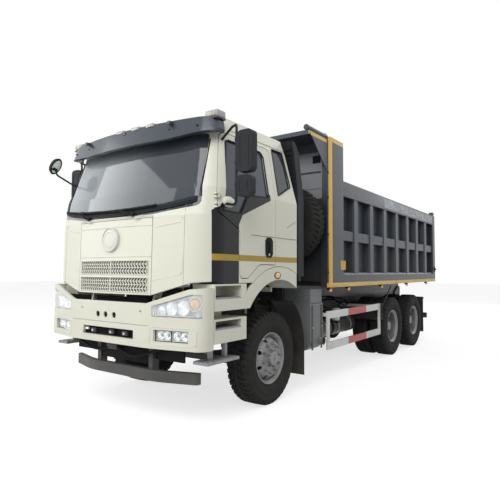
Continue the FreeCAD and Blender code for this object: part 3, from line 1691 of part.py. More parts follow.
def build_bed():
    half = s.bed_half
    skin_out = s.bed_skin_x + s.bed_skin_wall
    front = behind(s.bed_front)
    rear = behind(s.bed_rear)
    low = s.bed_bottom
    floor_top = s.bed_floor_top
    wall_top = s.bed_rail_top
    head_top = s.bed_head_top
    parts = []
    floor_plate = box((-half, half), (front, rear), (floor_top - 20, floor_top))
    front_wall = box((-half + 30, half - 30), (front, front + s.bed_wall), (floor_top, head_top))
    parts += [floor_plate, front_wall]

    side = []
    side.append(box((s.bed_skin_x, skin_out), (front, rear), (floor_top, wall_top)))
    side.append(box((s.bed_skin_x, half), (front, rear), (s.bed_rail_bottom, wall_top)))
    sill_outline = [
        (s.bed_skin_x, floor_top - 20),
        (s.bed_skin_x, low),
        (half, low),
        (half, s.bed_sill_top - 30),
        (half - 30, s.bed_sill_top),
        (skin_out, s.bed_sill_top),
        (skin_out, floor_top - 20),
    ]
    side.append(prism("y", sill_outline, (front, rear)))
    rib_outer = half - s.rib_inset
    rails_z = (s.bed_sill_top - 40, s.bed_rail_bottom)
    side.append(box((skin_out, half), (front, behind(s.bed_head_rear)), (s.bed_sill_top - 40, s.bed_rail_bottom)))
    side.append(box((s.bed_skin_x, half), (front, behind(s.bed_head_rear)), (wall_top, head_top)))
    side.append(box((skin_out, half), (behind(s.bed_post_front), rear), rails_z))
    side.append(box((skin_out, rib_outer - 14), (behind(s.bed_head_rear), behind(s.bed_post_front)), (s.bed_mid_bottom, s.bed_mid_top)))
    for index in range(SIZES["rib_count"]):
        y = behind(s.rib_first) + index * s.rib_pitch
        outline = [
            (skin_out, y),
            (rib_outer, y + 22),
            (rib_outer, y + s.rib_width - 22),
            (skin_out, y + s.rib_width),
        ]
        side.append(prism("z", outline, rails_z))
    left = fuse(*side)

    ribs_below = []
    beam_top = floor_top - 20
    beam_x = (s.rail_outer - s.rail_width, s.rail_outer)
    beam_low = s.rail_top + s.gap
    sub = box(beam_x, (front + 40, behind(s.bed_pivot_y) - 110), (beam_low, beam_top))
    tail = bed_pivot_ear(beam_x, beam_top)
    cross = []
    for index in range(9):
        y = front + 140 + index * 690
        cross.append(box((-s.bed_skin_x, s.bed_skin_x), (y, y + 70), (beam_top - 70, beam_top)))
    canopy = canopy_pieces()
    ears = hoist_ears()
    hinge = tailgate_lug()
    node("bed_body", fuse(*parts, left, mirrored(left), sub, mirrored(sub), tail, mirrored(tail), *cross, *canopy, *ears, hinge, mirrored(hinge)))


def bed_pivot_ear(beam_x, beam_top):
    """The lug under the floor that turns on the pivot pin."""
    y = behind(s.bed_pivot_y)
    z = s.bed_pivot_z
    plate = prism(
        "x",
        [
            (y - 110, s.rail_top + s.gap),
            (y - 40, s.rail_top + s.gap),
            (y + 20, z - 50),
            (y + 60, z),
            (y + 110, beam_top),
            (y - 110, beam_top),
        ],
        (beam_x[0] + 10, beam_x[1] - s.gap),
    )
    pin = rod("x", (y, z), s.bed_pin_radius, (beam_x[0] + 10, s.rail_outer + 36))
    return fuse(plate, pin)


def canopy_pieces():
    """The sloping roof plate ahead of the front wall, its side gussets and the rolled cover's tube."""
    front = behind(s.canopy_front)
    back = behind(s.bed_front)
    top = s.canopy_top
    wall = s.canopy_wall
    half = s.canopy_half
    under_back = top - 190
    roof = prism(
        "x",
        [(front, top), (front, top - 60), (front + wall, top - 60), (front + wall, top - wall), (back, top - wall), (back, top)],
        (-half, half),
    )
    gusset = prism(
        "x",
        [(front + wall, top - wall), (back, top - wall), (back, under_back - 300), (back - 60, under_back - 260)],
        (half - wall, half),
    )
    tube = rod("y", (half - 40, top + 38), 38, (front - 10, back))
    corner = box((half - 100, half), (back - 45, back), (s.bed_bottom, s.bed_head_top))
    knob = rod("z", (half - 50, back - 20), 28, (s.bed_head_top, s.bed_head_top + 45))
    rib = box((-half + 100, half - 100), (back - 40, back), (3010, 3130))
    pieces = [roof, rib]
    for piece in (gusset, tube, corner, knob):
        pieces.append(piece)
        pieces.append(mirrored(piece))
    return pieces


def hoist_ears():
    """The two plates that reach forward from the front wall to the hoist's top pin."""
    y = behind(s.hoist_y)
    z = s.hoist_pin_z
    x = (s.hoist_ear_gap, s.hoist_ear_gap + 30)
    outline = [
        (behind(s.bed_front), z + 420),
        (behind(s.bed_front), z - 40),
        (y + 60, z - 40),
        (y - 60, z - 35),
        (y - 60, z + 60),
        (y + 60, z + 110),
    ]
    plate = prism("x", outline, x)
    return [plate, mirrored(plate)]


def tailgate_lug():
    """The upright at the rear corner that carries the tailgate's top pin."""
    rear = behind(s.bed_rear)
    z = s.tailgate_pivot_z
    x = (s.bed_half - 80, s.bed_half - 40)
    plate = prism(
        "x",
        [
            (rear - 120, s.bed_rail_top),
            (rear, s.bed_rail_top),
            (rear + 70, z - 30),
            (rear + 70, z + 40),
            (rear - 10, z + 40),
        ],
        x,
    )
    return cut(plate, rod("x", (rear + 32, z), s.gate_pin_radius + s.bearing_gap, (x[0] - 5, x[1] + 5)))


def build_tailgate():
    """The rear door of the load body, hung from its top pins."""
    rear = behind(s.bed_rear)
    gap = s.gap
    y = (rear + gap, rear + gap + 8)
    half = s.bed_half - 30
    low = s.bed_bottom + 20
    top = s.bed_rail_top - 20
    skin = box((-half, half), y, (low, top))
    outer = (y[1], rear + s.tailgate_wall + gap)
    bars = []
    for z in (low, s.bed_mid_bottom, top - 140):
        bars.append(box((-half, half), outer, (z, z + 140)))
    count = 6
    for index in range(count + 1):
        x = -half + index * (2 * half - 120) / count
        bars.append(box((x, x + 120), outer, (low, top)))
    z = s.tailgate_pivot_z
    hangers = []
    for side in (1, -1):
        inner = s.bed_half - 130
        x = (inner, inner + 40) if side > 0 else (-inner - 40, -inner)
        hangers.append(prism("x", [(y[0], top - 10), (outer[1], top - 10), (outer[1], z), (rear + 75, z + 35), (rear - 5, z + 35), (rear - 5, z - 20), (y[0], z - 30)], x))
        pin_x = (inner, s.bed_half - 80 + 30) if side > 0 else (-s.bed_half + 50, -inner)
        hangers.append(rod("x", (rear + 32, z), s.gate_pin_radius, pin_x))
    node("tailgate", fuse(skin, *bars, *hangers))


# Hoist

def stepped_bore(outer, low, top):
    """A tube's bore, tight round the next stage at its gland."""
    centre = (0, behind(s.hoist_y))
    gland = outer - s.hoist_step + s.bearing_gap
    return fuse(
        rod("z", centre, outer - s.hoist_wall, (low, top - s.gland_height)),
        rod("z", centre, gland, (low, top + 5)),
    )


def build_hoist():
    """A telescopic ram: a barrel on its trunnion and three nested stages."""
    y = behind(s.hoist_y)
    low = s.hoist_low_z
    pin = s.hoist_pin_z
    radius = s.hoist_radius
    step = s.hoist_step
    bottom = low - radius
    barrel_top = pin - 100
    stroke_end = bottom + 30
    barrel = rod("z", (0, y), radius, (bottom, barrel_top))
    trunnion = rod("x", (y, low), s.trunnion_radius, (-radius - 45, radius + 45))
    node("hoist_barrel", cut(fuse(barrel, trunnion), stepped_bore(radius, stroke_end, barrel_top)))
    for index in (1, 2, 3):
        outer = radius - index * step
        top = barrel_top + index * 15
        start = stroke_end + index * 10
        tube = rod("z", (0, y), outer, (start, top))
        if index < 3:
            node("hoist_stage_%d" % index, cut(tube, stepped_bore(outer, start + 5, top)))
        else:
            half = s.hoist_ear_gap - 15
            eye = rod("x", (y, pin), 45, (-half, half))
            neck = rod("z", (0, y), 34, (top, pin))
            node("hoist_stage_%d" % index, fuse(tube, eye, neck))


def check_and_export():
    doc.recompute()
    for item in doc.Objects:
        if "Invalid" in item.State or "Error" in item.State:
            raise RuntimeError("%s failed: %s" % (item.Name, item.State))
    os.makedirs("parts", exist_ok=True)
    for item in NODES:
        if item.Shape.isNull() or not item.Shape.isValid() or not item.Shape.Solids:
            raise RuntimeError("the shape of %s is not sound" % item.Label)
    for item in NODES:
        item.Shape.exportStep("parts/%s.step" % item.Label)


build_wheels()
build_frame()
build_springs()
build_front_axle()
build_knuckles()
build_rear_axles()
build_drive()
build_bumper()
build_underrun()
build_fenders()
build_steps()
node("mudguards", group(build_mudguards(), build_bogie_guards()))
build_silencer()
build_tanks()
build_guards()
build_spare()
build_snorkel()
build_rear_bar()
build_cab()
build_visor()
build_front_lid()
build_cab_inside()
build_mirrors()
build_bed()
build_tailgate()
build_hoist()
check_and_export()
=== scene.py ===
import bmesh
import bpy
import math
from functools import reduce
from mathutils import Matrix, Vector


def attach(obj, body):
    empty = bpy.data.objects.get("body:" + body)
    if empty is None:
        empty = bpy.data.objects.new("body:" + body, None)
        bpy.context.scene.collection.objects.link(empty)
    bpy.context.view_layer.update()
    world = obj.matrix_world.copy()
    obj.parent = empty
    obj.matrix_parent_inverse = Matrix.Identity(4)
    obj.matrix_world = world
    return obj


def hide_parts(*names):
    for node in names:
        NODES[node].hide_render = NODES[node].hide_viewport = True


# A three axle dump truck. Metres, +Z up, -Y ahead, +X to the truck's left.

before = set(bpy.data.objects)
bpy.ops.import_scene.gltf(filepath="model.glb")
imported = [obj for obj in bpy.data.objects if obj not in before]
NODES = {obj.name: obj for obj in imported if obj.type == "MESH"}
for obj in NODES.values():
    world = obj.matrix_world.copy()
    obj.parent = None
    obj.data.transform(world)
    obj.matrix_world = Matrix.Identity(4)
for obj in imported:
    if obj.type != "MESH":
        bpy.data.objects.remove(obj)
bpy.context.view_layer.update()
scene = bpy.context.scene
FRONT_AXLE = -2.8725
WHEELBASE = 4.1
BOGIE = 1.35
TYRE_R = 0.54
CAB_HALF = 1.245
SIDES = (("left", 1), ("right", -1))
AHEAD = (0, -1, 0)


def ax(distance):
    """The place along the truck of a distance behind the front axle."""
    return FRONT_AXLE + distance


def srgb(red, green, blue):
    """A linear colour from its usual 0 to 255 numbers."""
    out = []
    for value in (red, green, blue):
        share = value / 255
        out.append(share / 12.92 if share <= 0.04045 else ((share + 0.055) / 1.055) ** 2.4)
    return tuple(out) + (1.0,)


# Materials

class Look:
    """A node material, built up in steps."""

    def __init__(self, name, colour, rough=0.5, metallic=0.0, coat=0.0, shine=0.22):
        self.mat = bpy.data.materials.new(name)
        self.mat.use_nodes = True
        self.tree = self.mat.node_tree
        self.shader = self.tree.nodes["Principled BSDF"]
        self.shader.inputs["Roughness"].default_value = rough
        self.shader.inputs["Metallic"].default_value = metallic
        self.shader.inputs["Coat Weight"].default_value = coat
        self.shader.inputs["Coat Roughness"].default_value = 0.12
        self.shader.inputs["Specular IOR Level"].default_value = shine
        self.base_rough = rough
        self.colour = srgb(*colour)
        self.rough = None
        self.normal = None
        self.place = self.tree.nodes.new("ShaderNodeTexCoord").outputs["Object"]
        self.split = self.new("SeparateXYZ", {0: self.place})

    def new(self, kind, values, **settings):
        """A node with its settings, and with a value or a link for each of its inputs."""
        node = self.tree.nodes.new("ShaderNode" + kind)
        for key, value in settings.items():
            setattr(node, key, value)
        for key, value in values.items():
            if isinstance(value, bpy.types.NodeSocket):
                self.tree.links.new(value, node.inputs[key])
            else:
                node.inputs[key].default_value = value
        return node

    def maths(self, operation, first, second=0.0, third=0.0):
        return self.new("Math", {0: first, 1: second, 2: third}, operation=operation).outputs[0]

    def axis(self, name):
        return self.split.outputs["XYZ".index(name)]

    def across(self):
        """The distance from the truck's middle."""
        return self.maths("ABSOLUTE", self.axis("X"))

    def noise(self, scale, detail=3.0, stretch=None):
        place = self.place
        if stretch is not None:
            scaled = self.new("VectorMath", {0: place, 1: stretch}, operation="MULTIPLY")
            place = scaled.outputs[0]
        values = {"Vector": place, "Scale": scale, "Detail": detail}
        return self.new("TexNoise", values).outputs[0]

    def level(self, value, low, high, start=0.0, end=1.0):
        return self.new("MapRange", {0: value, 1: low, 2: high, 3: start, 4: end}).outputs[0]

    def above(self, value, edge):
        return self.maths("GREATER_THAN", value, edge)

    def below(self, value, edge):
        return self.maths("LESS_THAN", value, edge)

    def between(self, value, low, high):
        return self.maths("COMPARE", value, (low + high) / 2, (high - low) / 2)

    def beyond(self, normal, offset):
        """1 where the point lies beyond a plane in the side view, as (y, z) and an offset."""
        values = {0: self.place, 1: (0, *normal)}
        dot = self.new("VectorMath", values, operation="DOT_PRODUCT")
        return self.above(dot.outputs["Value"], offset)

    def polygon(self, points):
        """1 inside a convex side view outline, given anticlockwise as (y, z)."""
        edges = []
        for (y0, z0), (y1, z1) in zip(points, points[1:] + points[:1]):
            normal = (z0 - z1, y1 - y0)
            edges.append(self.beyond(normal, normal[0] * y0 + normal[1] * z0))
        return self.both(*edges)

    def both(self, *masks):
        return reduce(lambda first, second: self.maths("MULTIPLY", first, second), masks)

    def either(self, *masks):
        return reduce(lambda first, second: self.maths("MAXIMUM", first, second), masks)

    def blend(self, share, colour):
        """Lay a colour over the present one."""
        node = self.new("Mix", {0: share, 6: self.colour, 7: srgb(*colour)}, data_type="RGBA")
        self.colour = node.outputs[2]

    def rough_where(self, share, rough):
        base = self.base_rough if self.rough is None else self.rough
        self.rough = self.new("Mix", {0: share, 2: base, 3: rough}, data_type="FLOAT").outputs[0]

    def soft_edges(self, radius):
        self.normal = self.new("Bevel", {"Radius": radius}, samples=4).outputs[0]

    def bump(self, height, strength, depth):
        values = {"Strength": strength, "Distance": depth, "Height": height}
        if self.normal is not None:
            values["Normal"] = self.normal
        self.normal = self.new("Bump", values).outputs[0]

    def dust(self, top, strength, scale):
        """Road dust that thins out towards a height."""
        height = self.level(self.axis("Z"), top, 0.3, 0.0, strength)
        patches = self.level(self.noise(scale, 6.0), 0.35, 0.7, 0.25, 1.0)
        share = self.both(height, patches)
        self.blend(share, DUST)
        self.rough_where(share, 0.85)

    def mottle(self, amount, scale=2.0, colour=(0, 0, 0), stretch=None):
        """Slow colour variation over a surface."""
        share = self.level(self.noise(scale, 5.0, stretch), 0.35, 0.75, 0.0, amount)
        self.blend(share, colour)

    def finish(self, dust, top, edge, grain, strength=0.05, detail=2.0, scale=3.0):
        """Dust, softened edges and a fine grain, and the material is done."""
        self.dust(top, dust, scale)
        self.soft_edges(edge)
        self.bump(self.noise(grain, detail), strength, 0.001)
        return self.done()

    def done(self):
        """Link what the steps have made, and give the material."""
        ends = {"Base Color": self.colour, "Roughness": self.rough, "Normal": self.normal}
        for name, value in ends.items():
            if isinstance(value, bpy.types.NodeSocket):
                self.tree.links.new(value, self.shader.inputs[name])
        return self.mat


DUST = (150, 138, 118)
CREAM = (218, 218, 203)
GLOSS_BLACK = (8, 10, 15)
BAND = (166, 140, 50)
BAND_WORN = (120, 110, 80)
BED_GREY = (60, 67, 77)
BED_YELLOW = (222, 184, 92)
BED_STRIP = (158, 165, 170)
GUARD_RED = (188, 66, 74)

# Places of the marks, as heights or as distances behind the front axle
PANEL_FRONT = -1.19
BAND_Z = (1.669, 1.733)
BED_FRONT = 1.353
SILL_BAND_Z = (1.335, 1.402)
TOP_BAND_Z = (3.435, 3.51)
CANOPY_BAND_Z = (3.4, 3.448)
STRIP_Z = (2.735, 2.9)
STRIP_Y = (3.6, 6.93)
RED_Y = (2.07, 2.8)


def cab_paint(name, side_marks):
    look = Look(name, CREAM, 0.34, coat=0.2)
    look.mottle(0.05, 1.3, (150, 144, 126))
    if side_marks:
        front = ax(PANEL_FRONT)
        outside = look.above(look.across(), 1.0)
        # The black side panel, as three outlines that are each convex
        panel = look.either(
            look.polygon([(front, 1.3), (ax(-0.8), 1.3), (ax(-0.8), 2.06), (front, 2.06)]),
            look.polygon([
                (front, 2.05), (ax(-0.8), 2.05), (ax(-0.735), 2.155),
                (ax(-0.735), 2.4), (ax(-1.06), 2.25), (front, 2.16),
            ]),
            look.polygon([(ax(-0.74), 2.152), (ax(-0.2), 2.372), (ax(-0.2), 2.44), (ax(-0.74), 2.44)]),
        )
        look.blend(look.both(panel, outside), GLOSS_BLACK)
        behind_front = look.above(look.axis("Y"), front)
        band = look.both(look.between(look.axis("Z"), *BAND_Z), outside, behind_front)
        worn = look.level(look.noise(30.0, 4.0), 0.62, 0.72, 0.0, 0.35)
        look.blend(band, BAND)
        look.blend(look.both(band, worn), BAND_WORN)
    return look.finish(0.3, 1.5, 0.006, 260.0, 0.02, detail=1.0)


def plain_paint(name, colour, rough, dust, top=1.6, coat=0.15, grain=140.0, edge=0.004):
    look = Look(name, colour, rough, coat=coat)
    look.mottle(0.12, 2.4)
    return look.finish(dust, top, edge, grain)


def bed_paint():
    look = Look("bed_paint", BED_GREY, 0.42, coat=0.2)
    look.mottle(0.16, 1.1)
    streaks = look.level(look.noise(2.2, 6.0, (1.0, 6.0, 0.35)), 0.45, 0.75, 0.0, 0.16)
    look.blend(streaks, (128, 128, 124))
    outer = look.above(look.across(), 1.215)
    y = look.axis("Y")
    z = look.axis("Z")
    # Painted shade: the recessed panels between the side posts are darkened as if in shadow.
    painted_recess_shade = look.both(look.between(look.across(), 1.12, 1.205), look.above(y, ax(1.45)))
    look.blend(look.level(painted_recess_shade, 0.0, 1.0, 0.0, 0.62), (24, 27, 33))
    # Painted shade: the bed's front face grows near black toward its foot, below 2.75 m.
    painted_front_face_shade = look.both(look.below(y, ax(BED_FRONT)), look.level(z, 2.75, 2.45))
    look.blend(look.level(painted_front_face_shade, 0.0, 1.0, 0.0, 0.75), (26, 28, 32))
    low_side = look.both(outer, look.level(z, 2.2, 1.4, 0.0, 0.45))
    look.blend(low_side, (52, 54, 58))
    low_band = look.both(look.between(z, *SILL_BAND_Z), outer)
    front_band = look.both(look.between(y, ax(1.35), ax(1.418)), outer, look.above(z, 1.33))
    top_band = look.both(look.between(z, *TOP_BAND_Z), outer, look.above(y, ax(1.34)))
    chips = look.level(look.noise(46.0, 5.0), 0.66, 0.72, 1.0, 0.0)
    look.blend(look.both(look.either(low_band, front_band, top_band), chips), BED_YELLOW)
    canopy_band = look.both(look.between(z, *CANOPY_BAND_Z), outer, look.below(y, ax(1.3)))
    look.blend(look.both(canopy_band, chips), BED_YELLOW)
    on_left = look.above(look.axis("X"), 0)
    strip = look.both(look.between(z, *STRIP_Z), outer, look.between(y, *map(ax, STRIP_Y)), on_left)
    faded = look.level(look.noise(5.0, 5.0, (1.0, 1.0, 2.5)), 0.4, 0.6, 0.45, 1.0)
    look.blend(look.both(strip, faded), BED_STRIP)
    wall = look.both(look.between(y, ax(1.3), ax(BED_FRONT)), look.below(look.across(), 1.14))
    look.blend(look.both(wall, look.between(z, 2.62, 3.3)), (128, 131, 133))
    return look.finish(0.3, 2.0, 0.006, 90.0, scale=1.6)


def tyre_look():
    look = Look("tyre_rubber", (46, 46, 46), 0.86, shine=0.12)
    look.mottle(0.35, 9.0, (70, 67, 62))
    look.mottle(0.25, 40.0, (36, 36, 36))
    look.bump(look.noise(420.0, 3.0), 0.25, 0.0015)
    return look.done()


def rim_look():
    look = Look("rim_silver", (146, 148, 148), 0.42, metallic=0.35)
    look.mottle(0.4, 14.0, (96, 90, 82))
    look.mottle(0.25, 60.0, (70, 66, 60))
    look.soft_edges(0.003)
    look.bump(look.noise(200.0, 2.0), 0.08, 0.001)
    return look.done()


def glass_look(name, colour, clear):
    look = Look(name, colour, 0.04, shine=0.5)
    look.shader.inputs["Transmission Weight"].default_value = clear
    look.shader.inputs["IOR"].default_value = 1.48
    look.mottle(0.06, 1.5, (160, 165, 170))
    return look.done()


def screen_look():
    """The windscreen, with a pale reflection painted into its colour toward the truck's right, where it
    also lets less light through.
    """
    look = Look("screen_glass", (92, 100, 108), 0.04, shine=0.5)
    look.shader.inputs["IOR"].default_value = 1.48
    # Painted reflection: a pale tint laid over the glass, stronger toward the truck's right.
    painted_sky_reflection = look.level(look.axis("X"), 0.45, -1.05)
    look.blend(painted_sky_reflection, (205, 212, 216))
    clear = look.level(painted_sky_reflection, 0.0, 1.0, 0.62, 0.4)
    look.tree.links.new(clear, look.shader.inputs["Transmission Weight"])
    return look.done()


def guard_paint():
    look = Look("guard_paint", (222, 226, 222), 0.4, coat=0.25)
    red = look.between(look.axis("Y"), *map(ax, RED_Y))
    along = look.above(look.across(), 1.16)
    look.blend(look.both(red, along), GUARD_RED)
    return look.finish(0.4, 1.3, 0.004, 160.0, 0.04)


def tread_metal():
    look = Look("tread_metal", (148, 150, 152), 0.5, metallic=0.6)
    look.mottle(0.4, 12.0, (96, 92, 84))
    look.soft_edges(0.002)
    look.bump(look.noise(180.0, 2.0), 0.1, 0.001)
    return look.done()


def lens_look(name, colour, clear, painted_glow=0.0):
    look = Look(name, colour, 0.12, shine=0.5)
    look.shader.inputs["Transmission Weight"].default_value = clear
    look.mottle(0.05, 5.0)
    wave = look.new("TexWave", {"Vector": look.place, "Scale": 30.0}, bands_direction="X")
    look.bump(wave.outputs[0], 0.15, 0.002)
    # Painted light: a faint glow of the lens's own colour brightens the unlit lens.
    if painted_glow:
        look.shader.inputs["Emission Color"].default_value = srgb(*colour)
        look.shader.inputs["Emission Strength"].default_value = painted_glow
    return look.done()


def chrome_look(name, colour, rough):
    look = Look(name, colour, rough, metallic=1.0)
    look.mottle(0.05, 20.0)
    return look.done()


def cloth_look():
    look = Look("seat_cloth", (74, 76, 82), 0.95)
    look.shader.inputs["Sheen Weight"].default_value = 0.4
    weave = look.new("TexWave", {"Vector": look.place, "Scale": 90.0, "Distortion": 1.0})
    cross = look.new("TexWave", {"Vector": look.place, "Scale": 90.0}, bands_direction="Z")
    height = look.maths("ADD", weave.outputs[0], cross.outputs[0])
    look.mottle(0.2, 12.0)
    look.bump(height, 0.3, 0.002)
    return look.done()


# Name, colour, roughness, dust, how high the dust goes, coat, grain, width of the softened edges
PAINTS = {
    "frame": ("frame_paint", (38, 40, 43), 0.5, 0.35),
    "bar": ("bar_paint", (66, 68, 70), 0.55, 0.25, 1.2),
    "iron": ("engine_iron", (46, 46, 46), 0.7, 0.4, 1.6, 0.0, 60.0),
    "silencer": ("silencer_metal", (118, 121, 124), 0.5, 0.22, 1.6, 0.1),
    "tank": ("tank_paint", (44, 47, 50), 0.42, 0.35),
    "plastic": ("black_plastic", (31, 33, 36), 0.62, 0.2, 1.4, 0.0, 320.0),
    "visor": ("visor_plastic", (60, 66, 75), 0.28, 0.0, 1.0, 0.4, 300.0),
    "dash": ("dash_plastic", (58, 60, 64), 0.7, 0.0, 1.0, 0.0, 500.0),
    "silver": ("lamp_silver", (216, 218, 218), 0.3, 0.1, 1.0, 0.3, 200.0, 0.002),
    "seal": ("rubber_seal", (28, 30, 32), 0.6, 0.1, 1.0, 0.0, 400.0, 0.002),
    "mesh_dark": ("mesh_shadow", (60, 56, 48), 0.7, 0.0, 1.0, 0.0, 60.0, 0.002),
    "joint": ("panel_joint", (138, 134, 121), 0.8, 0.1, 1.0, 0.0, 60.0, 0.001),
    "hoist": ("hoist_paint", (58, 60, 62), 0.4, 0.2),
    "steel": ("bright_steel", (172, 174, 175), 0.3, 0.1, 1.0, 0.2, 90.0),
    "yellow": ("label_yellow", (206, 168, 84), 0.5, 0.1, 1.0, 0.1, 200.0, 0.001),
    # hole: near black, the own colour of hoses, wiper blades and other black parts, and also painted shade
    # inside holes, slots and recesses.
    "hole": ("dark_hollow", (18, 19, 20), 0.8, 0.0, 1.0, 0.0),
}
LOOKS = {key: plain_paint(*row) for key, row in PAINTS.items()}
LOOKS.update({
    "cab_body": cab_paint("cab_body_paint", True),
    "cab": cab_paint("cab_paint", False),
    "bed": bed_paint(),
    "tread": tread_metal(),
    "guard": guard_paint(),
    "tyre": tyre_look(),
    "rim": rim_look(),
    "red_lens": lens_look("red_lens", (176, 28, 30), 0.2),
    # Painted light: the headlamp and fog lamp lenses get a faint glow.
    "clear_lens": lens_look("clear_lens", (240, 243, 245), 0.9, 0.1),
    "amber_lens": lens_look("amber_lens", (244, 174, 66), 0.15),
    "amber_clear": lens_look("amber_clear", (226, 220, 206), 0.5),
    "glass": glass_look("side_glass", (76, 86, 97), 0.32),
    "screen": screen_look(),
    "chrome": chrome_look("reflector", (244, 246, 248), 0.22),
    "mirror": chrome_look("mirror_glass", (205, 214, 220), 0.03),
    "cloth": cloth_look(),
})

CAD_LOOKS = {
    "cab_body": "cab_shell door_left door_right",
    "cab": "bumper front_fenders step_boxes front_lid",
    "bed": "bed_body tailgate",
    "frame": "rail_left rail_right crossmembers tow_beam cab_rest hoist_cradle front_axle leaf_springs "
             "rear_axles spare_carrier rear_bar knuckle_left knuckle_right",
    "bar": "underrun_bar",
    "iron": "engine driveline",
    "tread": "step_treads",
    "silencer": "silencer",
    "tank": "tanks",
    "guard": "side_guards",
    "plastic": "mudguards snorkel mirror_left mirror_right",
    "visor": "sun_visor",
    "dash": "dashboard steering_wheel seats",
    "tyre": "spare_tyre tyre_front_left tyre_front_right tyres_rear_1_left tyres_rear_1_right "
            "tyres_rear_2_left tyres_rear_2_right",
    "rim": "spare_rim rim_front_left rim_front_right rims_rear_1_left rims_rear_1_right rims_rear_2_left "
           "rims_rear_2_right",
    "red_lens": "tail_lamps",
    "clear_lens": "front_lamps",
    "glass": "door_glass_left door_glass_right",
    "screen": "cab_glass",
    "hoist": "hoist_barrel",
    "steel": "hoist_stage_1 hoist_stage_2 hoist_stage_3",
}

for look_name, node_names in CAD_LOOKS.items():
    for node_name in node_names.split():
        cad_piece = NODES[node_name]
        if not cad_piece.material_slots:
            cad_piece.data.materials.append(LOOKS[look_name])
        for material_slot in cad_piece.material_slots:
            material_slot.material = LOOKS[look_name]


# Mesh tools

def turn_to(direction):
    """The turn that takes +Z to a direction."""
    return Vector(direction).to_track_quat("Z", "Y").to_matrix().to_4x4()


def aimed(place, direction):
    """A frame at a place whose +Z looks in a direction."""
    return Matrix.Translation(place) @ turn_to(direction)


def at(x, y, z):
    return Vector((x, y, z))


def bevel_edges(mesh, width, steps):
    edges = list(mesh.edges)
    bmesh.ops.bevel(mesh, geom=edges, offset=width, segments=steps, affect="EDGES", profile=0.5)


